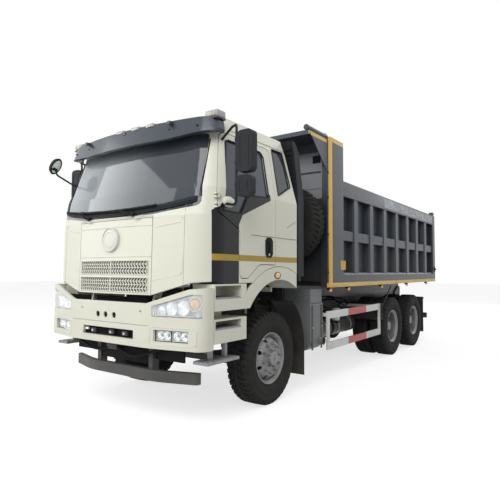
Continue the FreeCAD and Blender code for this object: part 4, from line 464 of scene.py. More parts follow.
class Piece:
    """A mesh put together from plain forms, each with its own look."""

    def __init__(self, name):
        self.name = name
        self.verts = []
        self.faces = []
        self.marks = []
        self.looks = []

    def add(self, verts, faces, look):
        if look not in self.looks:
            self.looks.append(look)
        mark = self.looks.index(look)
        start = len(self.verts)
        self.verts += [tuple(v) for v in verts]
        self.faces += [tuple(start + i for i in face) for face in faces]
        self.marks += [mark] * len(faces)

    def add_bmesh(self, mesh, look):
        mesh.verts.ensure_lookup_table()
        mesh.verts.index_update()
        verts = [vert.co.copy() for vert in mesh.verts]
        faces = [[vert.index for vert in face.verts] for face in mesh.faces]
        mesh.free()
        self.add(verts, faces, look)

    def block(self, low, high, look, bevel=0.003, steps=1):
        """A block with bevelled edges between two corners."""
        low, high = Vector(low), Vector(high)
        size = high - low
        mesh = bmesh.new()
        bmesh.ops.create_cube(mesh, size=1.0)
        for vert in mesh.verts:
            vert.co = vert.co * size + (low + high) / 2
        if bevel:
            width = min(bevel, min(map(abs, size)) * 0.45)
            bevel_edges(mesh, width, steps)
        self.add_bmesh(mesh, look)

    def rod(self, start, end, radius, look, sides=16, bevel=0.0):
        """A round bar between two points, with closed ends that may be bevelled."""
        start, end = Vector(start), Vector(end)
        length = (end - start).length
        rings = [(0, 0), (radius, 0), (radius, length), (0, length)]
        if bevel:
            inner, top = radius - bevel, length - bevel
            rings[1:3] = [(inner, 0), (radius, bevel), (radius, top), (inner, length)]
        self.lathe(rings, look, sides, aimed(start, end - start))

    def lathe(self, profile, look, sides=32, matrix=None, closed=False):
        """A form turned about Z from its (radius, height) profile."""
        verts, faces, rows = [], [], []
        for radius, height in profile:
            count = 1 if radius < 1e-6 else sides
            rows.append(list(range(len(verts), len(verts) + count)))
            for step in range(count):
                angle = 2 * math.pi * step / sides
                verts.append(at(radius * math.cos(angle), radius * math.sin(angle), height))
        for low, high in zip(rows, rows[1:] + rows[:1] if closed else rows[1:]):
            if len(low) == len(high) == 1:
                continue
            for step in range(sides):
                following = (step + 1) % sides
                if len(low) == 1:
                    faces.append((low[0], high[following], high[step]))
                elif len(high) == 1:
                    faces.append((low[step], low[following], high[0]))
                else:
                    faces.append((low[step], low[following], high[following], high[step]))
        self.add([matrix @ vert for vert in verts] if matrix else verts, faces, look)

    def tube(self, points, radius, look, sides=8, closed=False):
        """A tube along a line of points, with closed ends."""
        points = [Vector(p) for p in points]
        count = len(points)
        verts, faces, side = [], [], None
        for index, point in enumerate(points):
            before = points[index - 1] if closed or index else point
            after = points[(index + 1) % count] if closed or index < count - 1 else point
            heading = (after - before).normalized()
            if side is None:
                side = heading.orthogonal().normalized()
            side = (side - heading * side.dot(heading)).normalized()
            other = heading.cross(side)
            for step in range(sides):
                angle = 2 * math.pi * step / sides
                verts.append(point + side * (radius * math.cos(angle)) + other * (radius * math.sin(angle)))
        for row in range(count if closed else count - 1):
            low, high = row * sides, (row + 1) % count * sides
            for step in range(sides):
                following = (step + 1) % sides
                faces.append((low + step, low + following, high + following, high + step))
        if not closed:
            faces += [tuple(reversed(range(sides))), tuple(range((count - 1) * sides, count * sides))]
        self.add(verts, faces, look)

    def plate(self, axis, outline, span, look, bevel=0.003, steps=1):
        """A flat sided form: an outline seen along an axis, carried through a span."""
        spare = "xyz".index(axis)
        low, high = sorted(span)
        mesh = bmesh.new()
        ring = []
        for u, v in outline:
            point = [u, v]
            point.insert(spare, low)
            ring.append(mesh.verts.new(point))
        moved = bmesh.ops.extrude_face_region(mesh, geom=[mesh.faces.new(ring)])
        for item in moved["geom"]:
            if isinstance(item, bmesh.types.BMVert):
                item.co[spare] += high - low
        bmesh.ops.recalc_face_normals(mesh, faces=list(mesh.faces))
        if bevel:
            bevel_edges(mesh, bevel, steps)
        self.add_bmesh(mesh, look)

    def mirror(self):
        """Add the same forms on the other side of the truck."""
        count = len(self.verts)
        self.verts += [(-x, y, z) for x, y, z in self.verts]
        self.faces += [tuple(count + i for i in reversed(face)) for face in self.faces]
        self.marks += list(self.marks)
        return self

    def done(self, body, slot, replaces=(), smooth=38.0):
        """The finished piece. Its y so far was counted from the front axle."""
        mesh = bpy.data.meshes.new(self.name)
        mesh.from_pydata([(x, ax(y), z) for x, y, z in self.verts], [], self.faces)
        for look in self.looks:
            mesh.materials.append(LOOKS[look])
        mesh.polygons.foreach_set("material_index", self.marks)
        mesh.polygons.foreach_set("use_smooth", [True] * len(self.faces))
        mesh.update()
        mesh.validate()
        mesh.set_sharp_from_angle(angle=math.radians(smooth))
        piece = bpy.data.objects.new(self.name, mesh)
        scene.collection.objects.link(piece)
        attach(piece, body)
        if replaces:
            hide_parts(*replaces)
        return piece


def eased(points, bend, steps=6):
    """A line whose corners are rounded with a radius of about the bend."""
    points = [Vector(p) for p in points]
    out = [points[0]]
    for before, here, after in zip(points, points[1:], points[2:]):
        reach = min(bend, (before - here).length * 0.49, (after - here).length * 0.49)
        first = here + (before - here).normalized() * reach
        last = here + (after - here).normalized() * reach
        for step in range(steps + 1):
            share = step / steps
            out.append(first.lerp(here, share).lerp(here.lerp(last, share), share))
    out.append(points[-1])
    return out


# Tyres

TREAD_DEPTH = 0.016
LUGS = 44
FRONT_TYRE_X = 1
TWIN_TYRES_X = (1.09, 0.75)
SPARE_PLACE = (0.69, 1.1, 2.25)
WHEEL_NUTS = (0.168, 10, 0.0165)  # radius of the ring, count, size
HUB_RADIUS = 0.1
HUB_NUT = 0.008


def tyre_profile():
    """The section of a tyre as (x, radius, how deep its grooves are there)."""
    half = [
        (0.105, 0.3005, 0), (0.122, 0.306, 0), (0.13, 0.322, 0), (0.131, 0.332, 0), (0.138, 0.345, 0),
        (0.1455, 0.372, 0), (0.1495, 0.402, 0), (0.1475, 0.432, 0), (0.1462, 0.434, 0), (0.1455, 0.448, 0),
        (0.1465, 0.45, 0), (0.144, 0.472, 0), (0.1415, 0.489, 0.15), (0.1395, 0.494, 0.8), (0.13, 0.516, 1),
        (0.12, 0.5335, 1), (0.112, 0.5375, 1), (0.078, 0.5385, 1), (0.0765, 0.5385, 1),
        (0.0765, 0.527, 0.2), (0.0685, 0.527, 0.2), (0.0685, 0.539, 1), (0.032, 0.5395, 1),
        (0.032, 0.5275, 0.2), (0.025, 0.5275, 0.2), (0.025, 0.5398, 0), (0.006, 0.54, 0),
    ]
    return half + [(-x, radius, deep) for x, radius, deep in reversed(half)]


def add_tyre(piece, matrix):
    """A tyre with block tread about the local X axis."""
    profile = tyre_profile()
    samples = []
    pitch = 2 * math.pi / LUGS
    for lug in range(LUGS):
        start = lug * pitch
        samples += [(start + share * pitch, low) for share, low in ((0, 0), (0.6, 0), (0.64, 1), (0.96, 1))]
    verts = []
    for angle, low in samples:
        for x, radius, deep in profile:
            turn = angle + (0.5 * pitch if x < 0 else 0) + abs(x) * 0.5
            cut = TREAD_DEPTH * low * deep
            verts.append(matrix @ at(x, (radius - cut) * math.cos(turn), (radius - cut) * math.sin(turn)))
    width = len(profile)
    faces = []
    count = len(samples)
    for row in range(count):
        here = row * width
        there = ((row + 1) % count) * width
        for column in range(width - 1):
            faces.append((here + column, here + column + 1, there + column + 1, there + column))
        faces.append((here + width - 1, here, there, there + width - 1))
    piece.add(verts, faces, "tyre")


def shifted(x, y, z):
    return Matrix.Translation((x, y, z))


def add_nuts(piece, x, sign, y, z, circle, count, size):
    """A ring of wheel nuts on their studs."""
    for index in range(count):
        angle = 2 * math.pi * (index + 0.25) / count
        centre = at(x, y + circle * math.cos(angle), z + circle * math.sin(angle))
        out = at(sign, 0, 0)
        piece.rod(centre, centre + out * 0.006, size * 1.35, "rim", 14)
        piece.rod(centre + out * 0.006, centre + out * 0.026, size, "rim", 6, bevel=0.002)
        piece.rod(centre + out * 0.026, centre + out * 0.04, size * 0.5, "rim", 10, bevel=0.002)


def make_wheels():
    for side, sign in SIDES:
        tyre = Piece("front_tyre_" + side)
        add_tyre(tyre, shifted(sign * FRONT_TYRE_X, 0, TYRE_R))
        tyre.done("wheel_front_" + side, "tyre", ["tyre_front_" + side])
        nuts = Piece("front_wheel_nuts_" + side)
        add_nuts(nuts, sign * 1.128, sign, 0, TYRE_R, *WHEEL_NUTS)
        add_nuts(nuts, sign * 1.134, sign, 0, TYRE_R, HUB_RADIUS, 8, HUB_NUT)
        nuts.tube([(sign * 1.075, 0.258, TYRE_R), (sign * 1.125, 0.252, TYRE_R)], 0.005, "rim")
        nuts.done("wheel_front_" + side, "rim_paint")
        for axle, offset in (("1", 0), ("2", BOGIE)):
            y = WHEELBASE + offset
            body = "wheels_rear_%s_%s" % (axle, side)
            tyres = Piece("rear_tyres_%s_%s" % (axle, side))
            for x in TWIN_TYRES_X:
                add_tyre(tyres, shifted(sign * x, y, TYRE_R))
            tyres.done(body, "tyre", ["tyres_rear_%s_%s" % (axle, side)])
            nuts = Piece("rear_wheel_nuts_%s_%s" % (axle, side))
            add_nuts(nuts, sign * 0.936, sign, y, TYRE_R, *WHEEL_NUTS)
            add_nuts(nuts, sign * 1.1, sign, y, TYRE_R, HUB_RADIUS, 10, HUB_NUT)
            nuts.done(body, "rim_paint")
    spare = Piece("spare_tyre_tread")
    spun = Matrix.Rotation(math.radians(-90), 4, "Z")
    add_tyre(spare, shifted(*SPARE_PLACE) @ spun)
    spare.done("chassis", "tyre", ["spare_tyre"])


make_wheels()


# Where the cab's and the bumper's skins are

# Height, half width, y of the corner and y of the nose
CAB_LEVELS = [
    (1.296, CAB_HALF, -1.03, -1.456),
    (2.12, CAB_HALF, -1.02, -1.438),
    (2.4, CAB_HALF, -0.985, -1.375),
    (3, 1.14, -0.83, -1.19),
    (3.195, 1.08, -0.74, -1.09),
]


def through(first, second, third, x):
    """The y at x on the arc through three points."""
    (x1, y1), (x2, y2), (x3, y3) = first, second, third
    turn = 2 * (x1 * (y2 - y3) + x2 * (y3 - y1) + x3 * (y1 - y2))
    a = x1 * x1 + y1 * y1
    b = x2 * x2 + y2 * y2
    c = x3 * x3 + y3 * y3
    middle_x = (a * (y2 - y3) + b * (y3 - y1) + c * (y1 - y2)) / turn
    middle_y = (a * (x3 - x2) + b * (x1 - x3) + c * (x2 - x1)) / turn
    radius = math.hypot(x1 - middle_x, y1 - middle_y)
    return middle_y - math.sqrt(max(radius ** 2 - (x - middle_x) ** 2, 0))


def level_front(level, x):
    """The y of the cab's front at x, at one of its levels."""
    half, side, nose = level[1:]
    corner = (half * 0.8, nose + (side - nose) * 0.24)
    x = min(abs(x), half)
    if x <= corner[0]:
        return through((-corner[0], corner[1]), (0, nose), corner, x)
    return through(corner, (half * 0.958, nose + (side - nose) * 0.56), (half, side), x)


def between_levels(z, value):
    """What the value is at z, between the two levels of the cab that z lies between."""
    for low, high in zip(CAB_LEVELS, CAB_LEVELS[1:]):
        if z <= high[0] or high is CAB_LEVELS[-1]:
            share = min(max((z - low[0]) / (high[0] - low[0]), 0), 1)
            return value(low) * (1 - share) + value(high) * share


def cab_front(x, z, out=0):
    """A point on the cab's bowed front, moved forward by out."""
    return at(x, between_levels(z, lambda level: level_front(level, x)) - out, z)


def cab_side_x(z):
    """Half the cab's width at z."""
    return between_levels(z, lambda level: level[1])


def screen_foot(x, low, rise=0.098):
    """The height of a line that bows up toward the windscreen's lower corners."""
    return low + rise * (abs(x) / 1.09) ** 2.2


def bumper_front(x, inset=0):
    """The y of the bumper's face at x."""
    x = abs(x)
    if x < 0.533:
        y = -1.48
    elif x < 0.71:
        y = -1.48 + (x - 0.533) ** 2 / 1.8
    elif x < 1.1486:
        y = -1.48 + (x - 0.6225) * 0.2008
    else:
        y = -1.2567 - math.sqrt(max(0.12 ** 2 - (x - 1.125) ** 2, 0))
    return y + inset


def curtain(piece, columns, low, high, depth, thick, look, rows=4):
    """A thin skin that follows a front between two edges. An edge is a z, or gives the z at each x."""
    low, high = (edge if callable(edge) else (lambda x, z=edge: z) for edge in (low, high))
    columns = sorted(columns)
    front = [at(x, depth(x, z), z) for x in columns for z in spaced(low(x), high(x), rows + 1)]
    back = [point + at(0, thick, 0) for point in front]
    count, step, last = len(front), rows + 1, len(columns) - 1
    faces = []
    for column in range(last):
        for row in range(rows):
            a = column * step + row
            b = a + step
            faces += [(a, b, b + 1, a + 1), (count + a, count + a + 1, count + b + 1, count + b)]
    rim = [column * step for column in range(last + 1)]
    rim += [last * step + row for row in range(1, step)]
    rim += [column * step + rows for column in range(last - 1, -1, -1)]
    rim += range(rows - 1, 0, -1)
    faces += [(a, count + a, count + b, b) for a, b in zip(rim, rim[1:] + rim[:1])]
    piece.add(front + back, faces, look)


def bumper_y(inset):
    """How far ahead the bumper's face is, moved back by inset."""
    return lambda x, z: bumper_front(x, inset)


def front_y(inset):
    """How far ahead the cab's front is, moved back by inset."""
    return lambda x, z: cab_front(x, z, -inset).y


def spaced(low, high, count):
    """Evenly spaced numbers, both ends among them."""
    return [low + (high - low) * index / (count - 1) for index in range(count)]


def bowl(piece, centre, radius, depth, direction, bulb=True):
    """A round reflector with its rim and bulb, opening in a direction."""
    direction = Vector(direction).normalized()
    root = 0.01
    profile = [(root, -depth)]
    for step in range(1, 9):
        share = step / 8
        profile.append((root + (radius - root) * share, -depth + depth * share * share))
    rim = radius + 0.005
    profile += [(rim, 0), (rim, -0.012), (radius * 0.6, -depth * 0.75), (root, -depth - 0.006)]
    piece.lathe(profile, "chrome", 28, aimed(centre, direction), closed=True)
    if bulb:
        base, tip = (Vector(centre) - direction * depth * share for share in (1, 0.35))
        piece.rod(base, tip, 0.009, "chrome", 12, bevel=0.003)


HEADLAMP_LOW = 1.118
MAIN_LAMPS = ((0.77, 1.172, 0.04), (0.88, 1.192, 0.058), (1.01, 1.205, 0.064))  # x, z, radius
LAMP_FACING = (0.12, -1, 0)
AMBER_FACING = (0.45, -1, 0.05)
FOG_LAMPS = ((0.71, 0.872), (0.89, 1.072))
FOG_LOW, FOG_HIGH = 0.884, 0.976


def lamp_top(x, margin=0.002):
    """The slanted upper edge of the headlamp."""
    return 1.213 + (min(abs(x), 1.105) - 0.673) * (0.12 / 0.432) - margin


def make_front_lamps():
    lens = Piece("headlamp_lenses")
    columns = spaced(0.677, 1.214, 22)
    curtain(lens, columns, HEADLAMP_LOW, lamp_top, bumper_y(0.008), 0.005, "clear_lens", 6)
    for low, high in FOG_LAMPS:
        curtain(lens, spaced(low, high, 6), 0.885, 0.974, bumper_y(0.03), 0.004, "clear_lens", 2)
    lens.mirror().done("chassis", "lamp", ["front_lamps"])
    inner = Piece("headlamp_units")
    curtain(inner, columns, HEADLAMP_LOW, lamp_top, bumper_y(0.085), 0.004, "silver", 4)
    wall = (columns[0], 0.69)
    curtain(inner, wall, HEADLAMP_LOW, lambda x: lamp_top(x, 0), bumper_y(0.012), 0.075, "silver", 2)
    for x, z, radius in MAIN_LAMPS:
        centre = (x, bumper_front(x, 0.03), z)
        bowl(inner, centre, radius, 0.055, LAMP_FACING)
        bezel = ((0.003, 0), (0.012, 0.002), (0.014, -0.006), (0.003, -0.008))
        bezel = [(radius + wider, height) for wider, height in bezel]
        inner.lathe(bezel, "silver", 28, aimed(centre, LAMP_FACING), closed=True)
    amber = (1.125, bumper_front(1.125, 0.045), 1.245)
    bowl(inner, amber, 0.062, 0.035, AMBER_FACING, False)
    dome = [(0, 0.016), (0.03, 0.01), (0.048, -0.002), (0.048, -0.012), (0, -0.012)]
    inner.lathe(dome, "amber_lens", 24, aimed(amber, AMBER_FACING))
    for x in (0.724, 1.165):
        y = bumper_front(x)
        inner.block((x - 0.012, y + 0.03, 1.125), (x + 0.012, y + 0.06, 1.165), "silver")
    inner.tube([(x, bumper_front(x, 0.022), 1.127) for x in columns[1:-3]], 0.004, "silver")
    curtain(inner, spaced(0.699, 1.084, 12), 0.877, 0.982, bumper_y(0.064), 0.004, "hole", 2)
    for low, high in FOG_LAMPS:
        middle = (low + high) / 2
        quarter = ((high - low) / 2 - 0.008) / 2
        for x in (middle - quarter, middle + quarter):
            centre = (x, bumper_front(x, 0.04), (FOG_LOW + FOG_HIGH) / 2)
            bowl(inner, centre, min(0.036, quarter), 0.026, (0.15, -1, 0), False)
        rim = ((low, FOG_LOW), (high, FOG_LOW), (high, FOG_HIGH), (low, FOG_HIGH))
        inner.tube([(x, bumper_front(x, 0.034), z) for x, z in rim], 0.005, "silver", closed=True)
    inner.mirror().done("chassis", "lamp")


BUMPER_BOLTS = ((0.52, 1.159), (0.545, 0.892), (-0.446, 1.157), (-0.418, 0.891))
HOLES_X = (-0.16, -0.03, 0.11)
HOLES_Z = 1.097
HOLES_FRAME = (
    (-0.235, 1.045), (0.185, 1.045), (0.2, 1.06), (0.2, 1.135),
    (0.17, 1.16), (-0.22, 1.16), (-0.25, 1.135), (-0.25, 1.06),
)
FOG_FRAME = (
    (0.665, 0.842), (1.12, 0.842), (1.175, 0.86), (1.175, 0.995),
    (1.14, 1.012), (0.69, 1.012), (0.655, 0.995), (0.65, 0.86),
)
SLOT_HALF = 0.425


def make_bumper_trim():
    trim = Piece("bumper_trim")
    for x, z in BUMPER_BOLTS:
        y = bumper_front(x)
        trim.rod((x, y + 0.004, z), (x, y + 0.0005, z), 0.016, "joint", 18)
        trim.rod((x, y + 0.004, z), (x, y, z), 0.01, "silver", 6)
    # The raised frame round the three round holes
    y = bumper_front(0)
    trim.tube([(x, y + 0.0046, z) for x, z in HOLES_FRAME], 0.0045, "cab", closed=True)
    collar = [(0.0325, 0), (0.0325, 0.004), (0.036, 0.006), (0.041, 0.004), (0.041, 0)]
    for x in HOLES_X:
        trim.lathe(collar, "cab", 24, aimed((x, y + 0.005, HOLES_Z), AHEAD), closed=True)
        trim.rod((x, y + 0.01, HOLES_Z), (x, y + 0.018, HOLES_Z), 0.031, "hole", 18)
    trim.tube([(x, bumper_front(x, 0.0015), 1.02) for x in spaced(-0.62, 0.64, 24)], 0.0025, "hole", 6)
    # What shows in the middle slot
    trim.block((-SLOT_HALF, y + 0.085, 0.862), (SLOT_HALF, y + 0.095, 0.968), "hole", 0.002)
    trim.block((-SLOT_HALF, y + 0.034, 0.866), (SLOT_HALF, y + 0.085, 0.874), "plastic", 0.002)
    for x in (-0.31, 0, 0.22):
        trim.block((x - 0.045, y + 0.05, 0.88), (x + 0.045, y + 0.085, 0.935), "bar", 0.006)
        trim.rod((x, y + 0.05, 0.905), (x, y + 0.04, 0.905), 0.014, "silver", 12, bevel=0.002)
    hose = [(-0.4, y + 0.07, 0.945), (-0.2, y + 0.06, 0.92), (0.05, y + 0.07, 0.95), (0.4, y + 0.06, 0.93)]
    trim.tube(eased(hose, 0.1), 0.008, "hole")
    trim.tube([(x, bumper_front(x, 0.028), 0.803) for x in spaced(-1.19, 1.19, 40)], 0.006, "plastic")
    # The raised frame round each fog lamp recess
    for sign in (1, -1):
        line = [(sign * x, bumper_front(x, 0.0015), z) for x, z in FOG_FRAME]
        trim.tube(line, 0.005, "cab", closed=True)
    trim.done("chassis", "cab_paint")


LID_HALF = 0.598
LID_LOW = 1.318
LID_HINGES = 2.06
LID_HIGH = 2.104
GRILLE_HALF = 0.56
GRILLE_BANDS = ((1.345, 1.495), (1.525, 1.67))
GRILLE_COLUMNS = 28
GRILLE_ROWS = 4


def lattice(piece, low, high, half, columns, rows, look):
    """A band of slanted openings, whose lean turns over from row to row."""
    pitch = 2 * half / columns
    tall = (high - low) / rows
    faces = []
    for a, b in ((0, 1), (1, 2), (2, 3), (3, 0)):
        faces += [(a, b, b + 4, a + 4), (a + 4, b + 4, b + 12, a + 12)]
        faces += [(a + 8, a + 12, b + 12, b + 8), (a, a + 8, b + 8, b)]
    for row in range(rows):
        lean = 0.3 * pitch if row % 2 else -0.3 * pitch
        bottom, top = low + row * tall, low + (row + 1) * tall
        for column in range(columns):
            left = -half + column * pitch
            right = left + pitch
            edge = []
            for bar, rib in ((0, 0), (0.15 * pitch, 0.1 * tall)):
                edge += [
                    (left + bar - lean, bottom + rib), (right - bar - lean, bottom + rib),
                    (right - bar + lean, top - rib), (left + bar + lean, top - rib),
                ]
            piece.add([cab_front(x, z, -depth) for depth in (0.002, 0.01) for x, z in edge], faces, look)


def make_grille():
    lid = Piece("front_lid_panel")
    columns = spaced(-LID_HALF, LID_HALF, 31)
    edges = [LID_LOW, *GRILLE_BANDS[0], *GRILLE_BANDS[1], LID_HINGES]
    for low, high in zip(edges[::2], edges[1::2]):
        curtain(lid, columns, low, high, front_y(0), 0.028, "cab", 4)
    curtain(lid, columns, LID_HINGES, LID_HIGH, front_y(0), 0.004, "cab", 2)
    across = spaced(-GRILLE_HALF, GRILLE_HALF, 20)
    for low, high in GRILLE_BANDS:
        for sign in (1, -1):
            curtain(lid, (sign * GRILLE_HALF, sign * LID_HALF), low, high, front_y(0), 0.028, "cab", 2)
        lattice(lid, low, high, GRILLE_HALF + 0.012, GRILLE_COLUMNS, GRILLE_ROWS, "cab")
        for z in (low, high):
            lid.tube([cab_front(x, z, 0.001) for x in across], 0.006, "cab")
        for x in (-GRILLE_HALF, GRILLE_HALF):
            lid.tube([cab_front(x, z, 0.001) for z in (low, high)], 0.006, "cab")
        lid.tube([cab_front(0, z, -0.004) for z in (low, high)], 0.01, "cab")
        behind = spaced(-0.57, 0.57, 14)
        curtain(lid, behind, low - 0.008, high + 0.008, front_y(0.045), 0.004, "mesh_dark", 2)
    for z in (2.03, 1.712):
        lid.tube([cab_front(x, z, -0.001) for x in spaced(-LID_HALF, LID_HALF, 25)], 0.005, "cab")
    # The bare disc with its two rings
    facing = aimed((0, -1.456, 1.897), AHEAD)
    disc = [(0, 0.014), (0.1, 0.012), (0.118, 0.008), (0.122, 0), (0.122, -0.02), (0, -0.02)]
    lid.lathe(disc, "cab", 48, facing)
    ring = [(0.114, 0.006), (0.117, 0.016), (0.124, 0.018), (0.129, 0.012), (0.13, -0.01)]
    lid.lathe(ring, "silver", 56, facing, closed=True)
    ring = [(0.078, 0.01), (0.08, 0.015), (0.084, 0.015), (0.086, 0.01)]
    lid.lathe(ring, "silver", 48, facing, closed=True)
    lid.done("front_lid", "cab_paint", ["front_lid"])
    edge = Piece("front_lid_edge")
    curtain(edge, columns, LID_HIGH + 0.005, 2.121, front_y(0), 0.004, "cab", 1)
    edge.done("cab", "cab_paint")


def make_cab_front():
    trim = Piece("cab_front_trim")
    # The black cowl and the seal round the windscreen
    columns = spaced(-1.085, 1.085, 40)
    trim.tube([cab_front(x, screen_foot(x, 2.175), 0.002) for x in columns], 0.011, "seal")
    low, high = (lambda x: screen_foot(x, 2.15)), (lambda x: screen_foot(x, 2.208))
    curtain(trim, columns, low, high, front_y(-0.004), 0.004, "seal", 2)
    for sign in (1, -1):
        side = [(sign * (1.118 - 0.055 * share), 2.3 + 0.62 * share) for share in spaced(0, 1, 12)]
        trim.tube([cab_front(x, z, 0.001) for x, z in side], 0.009, "seal")
        # The corner panel's joint, its folds and its fixings
        joint = [cab_front(sign * 0.985, z, -0.001) for z in spaced(1.335, 2.222, 16)]
        trim.tube(joint, 0.0022, "joint", 6)
        joint = [cab_front(sign * 1.095, z, -0.001) for z in spaced(2.3, 2.9, 10)]
        trim.tube(joint, 0.0025, "joint", 6)
        fold = [(sign * (0.64 + 0.3 * share), 2.005 + 0.04 * share) for share in spaced(0, 1, 8)]
        trim.tube([cab_front(x, z, -0.002) for x, z in fold], 0.006, "cab")
        fold = [(0.61, 1.452), (0.64, 1.47), (0.94, 1.53), (0.965, 1.549), (0.965, 1.7)]
        trim.tube([cab_front(sign * x, z, -0.002) for x, z in fold], 0.006, "cab")
        for x, z in ((0.955, 2.09), (0.955, 1.42)):
            point = cab_front(sign * x, z, 0.001)
            trim.rod(point, point + at(0, -0.004, 0), 0.008, "cab", 12, bevel=0.001)
    # The marker at the far corner's lower edge
    mark = cab_front(-1.19, 1.425)
    trim.block(mark - at(0.018, 0.012, 0.016), mark + at(0.018, 0.012, 0.016), "amber_lens", 0.005)
    trim.done("cab", "cab_paint")

    # Name, x of the pivot, ends of the blade, its height, which of its points the arm holds
    for name, pivot, ends, lift, held in (
        ("wiper_left", 0.33, (-0.64, 0.64), 2.208, 9),
        ("wiper_right", -0.43, (-1.01, -0.2), 2.212, 8),
    ):
        wiper = Piece(name)
        root = cab_front(pivot, 2.15, 0.02)
        wiper.rod(root + at(0, 0.03, 0), root - at(0, 0.014, 0), 0.022, "seal", bevel=0.004)
        blade = [cab_front(x, screen_foot(x, lift, 0.075), 0.022) for x in spaced(*ends, 18)]
        middle = blade[held]
        wiper.tube(blade, 0.013, "hole")
        wiper.tube([p + at(0, 0.008, -0.01) for p in blade], 0.005, "hole", 6)
        arm = [root - at(0, 0.006, 0), root + at(-0.06, -0.024, 0.02), middle + at(0.08, -0.02, 0), middle]
        wiper.tube(eased(arm, 0.06), 0.013, "hole")
        wiper.block(middle - at(0.03, 0.014, 0.012), middle + at(0.03, 0.01, 0.012), "seal", 0.004)
        wiper.done("cab", "visor_plastic")

    # The look-down mirror on its arm at the far corner
    mirror = Piece("corner_mirror")
    head = at(-1.185, -1.385, 2.862)
    foot = cab_front(-1.098, 2.64, 0.006)
    facing = aimed(head, (1, 0.42, -0.62)) @ Matrix.Diagonal((1, 1.22, 1, 1))
    mirror.lathe([(0, 0.004), (0.074, 0.004), (0.076, 0), (0, 0)], "mirror", 36, facing)
    shell = [
        (0.07, 0.006), (0.084, 0.008), (0.09, -0.004), (0.078, -0.034),
        (0.046, -0.052), (0, -0.058), (0, -0.05), (0.07, -0.006),
    ]
    mirror.lathe(shell, "plastic", 36, facing)
    arm = [head + at(0, 0, -0.05), head + at(0.03, -0.01, -0.11), foot + at(0, -0.06, 0.01), foot]
    mirror.tube(eased(arm, 0.05), 0.011, "seal", 10)
    mirror.rod(head + at(0, 0, -0.062), head + at(0, 0, -0.025), 0.017, "seal", 14, bevel=0.004)
    mirror.rod(foot + at(0, 0.004, 0), foot - at(0, 0.016, 0), 0.026, "seal", 18, bevel=0.004)
    mirror.done("cab", "black_plastic")


def visor_point(x, z):
    """A point on the outside of the peak over the windscreen."""
    return at(x, cab_front(x / 1.1, min(z, 3.19), 0.13).y, z)


def marker_lamp(piece, place, half, look):
    """A box lamp: a dark foot, a silver body and a lens ahead of it."""
    wide, deep, tall = half
    piece.block(place + at(-wide, -deep, -tall), place + at(wide, deep, -tall * 0.55), "visor", 0.006)
    low = place + at(-wide * 0.94, -deep * 0.9, -tall * 0.6)
    piece.block(low, place + at(wide * 0.94, deep, tall), "steel", 0.012, steps=3)
    lens_low = place + at(-wide * 0.8, -deep - 0.006, -tall * 0.4)
    piece.block(lens_low, place + at(wide * 0.8, -deep * 0.5, tall * 0.72), look, 0.006, steps=2)


def make_visor():
    lamps = Piece("visor_lamps")
    for x in (-0.09, 0.163, 0.385):
        marker_lamp(lamps, visor_point(x, 3.118), (0.066, 0.03, 0.03), "amber_clear")
    for sign in (1, -1):
        marker_lamp(lamps, at(sign * 1.118, -1.045, 3.15), (0.086, 0.075, 0.046), "amber_clear")
    for x in spaced(-1.02, 1.02, 7):
        point = visor_point(x, 3.03)
        lamps.rod(point + at(0, 0.008, 0), point - at(0, 0.004, 0), 0.009, "hole", 12, bevel=0.001)
    lamps.done("cab", "visor_plastic")


REPEATER = (1.245, -0.052, 1.514)


HANDLE_RECESS = (
    (-0.273, 1.722), (-0.194, 1.722), (-0.162, 1.754), (-0.162, 1.91),
    (-0.194, 1.942), (-0.273, 1.942), (-0.305, 1.91), (-0.305, 1.754),
)
DOOR_WINDOW = (
    (-1.052, 2.172), (-0.765, 2.168), (-0.655, 2.345), (-0.6, 2.376), (-0.245, 2.402), (-0.237, 2.42),
    (-0.237, 2.88), (-0.29, 2.933), (-0.88, 2.933), (-0.925, 2.895), (-1.05, 2.21),
)
QUARTER_WINDOW = (
    (-0.022, 2.452), (0.29, 2.602), (0.292, 2.63), (0.218, 3.025), (0.19, 3.03), (-0.01, 3.03),
    (-0.025, 3.01),
)
WAIST_Z = 1.955


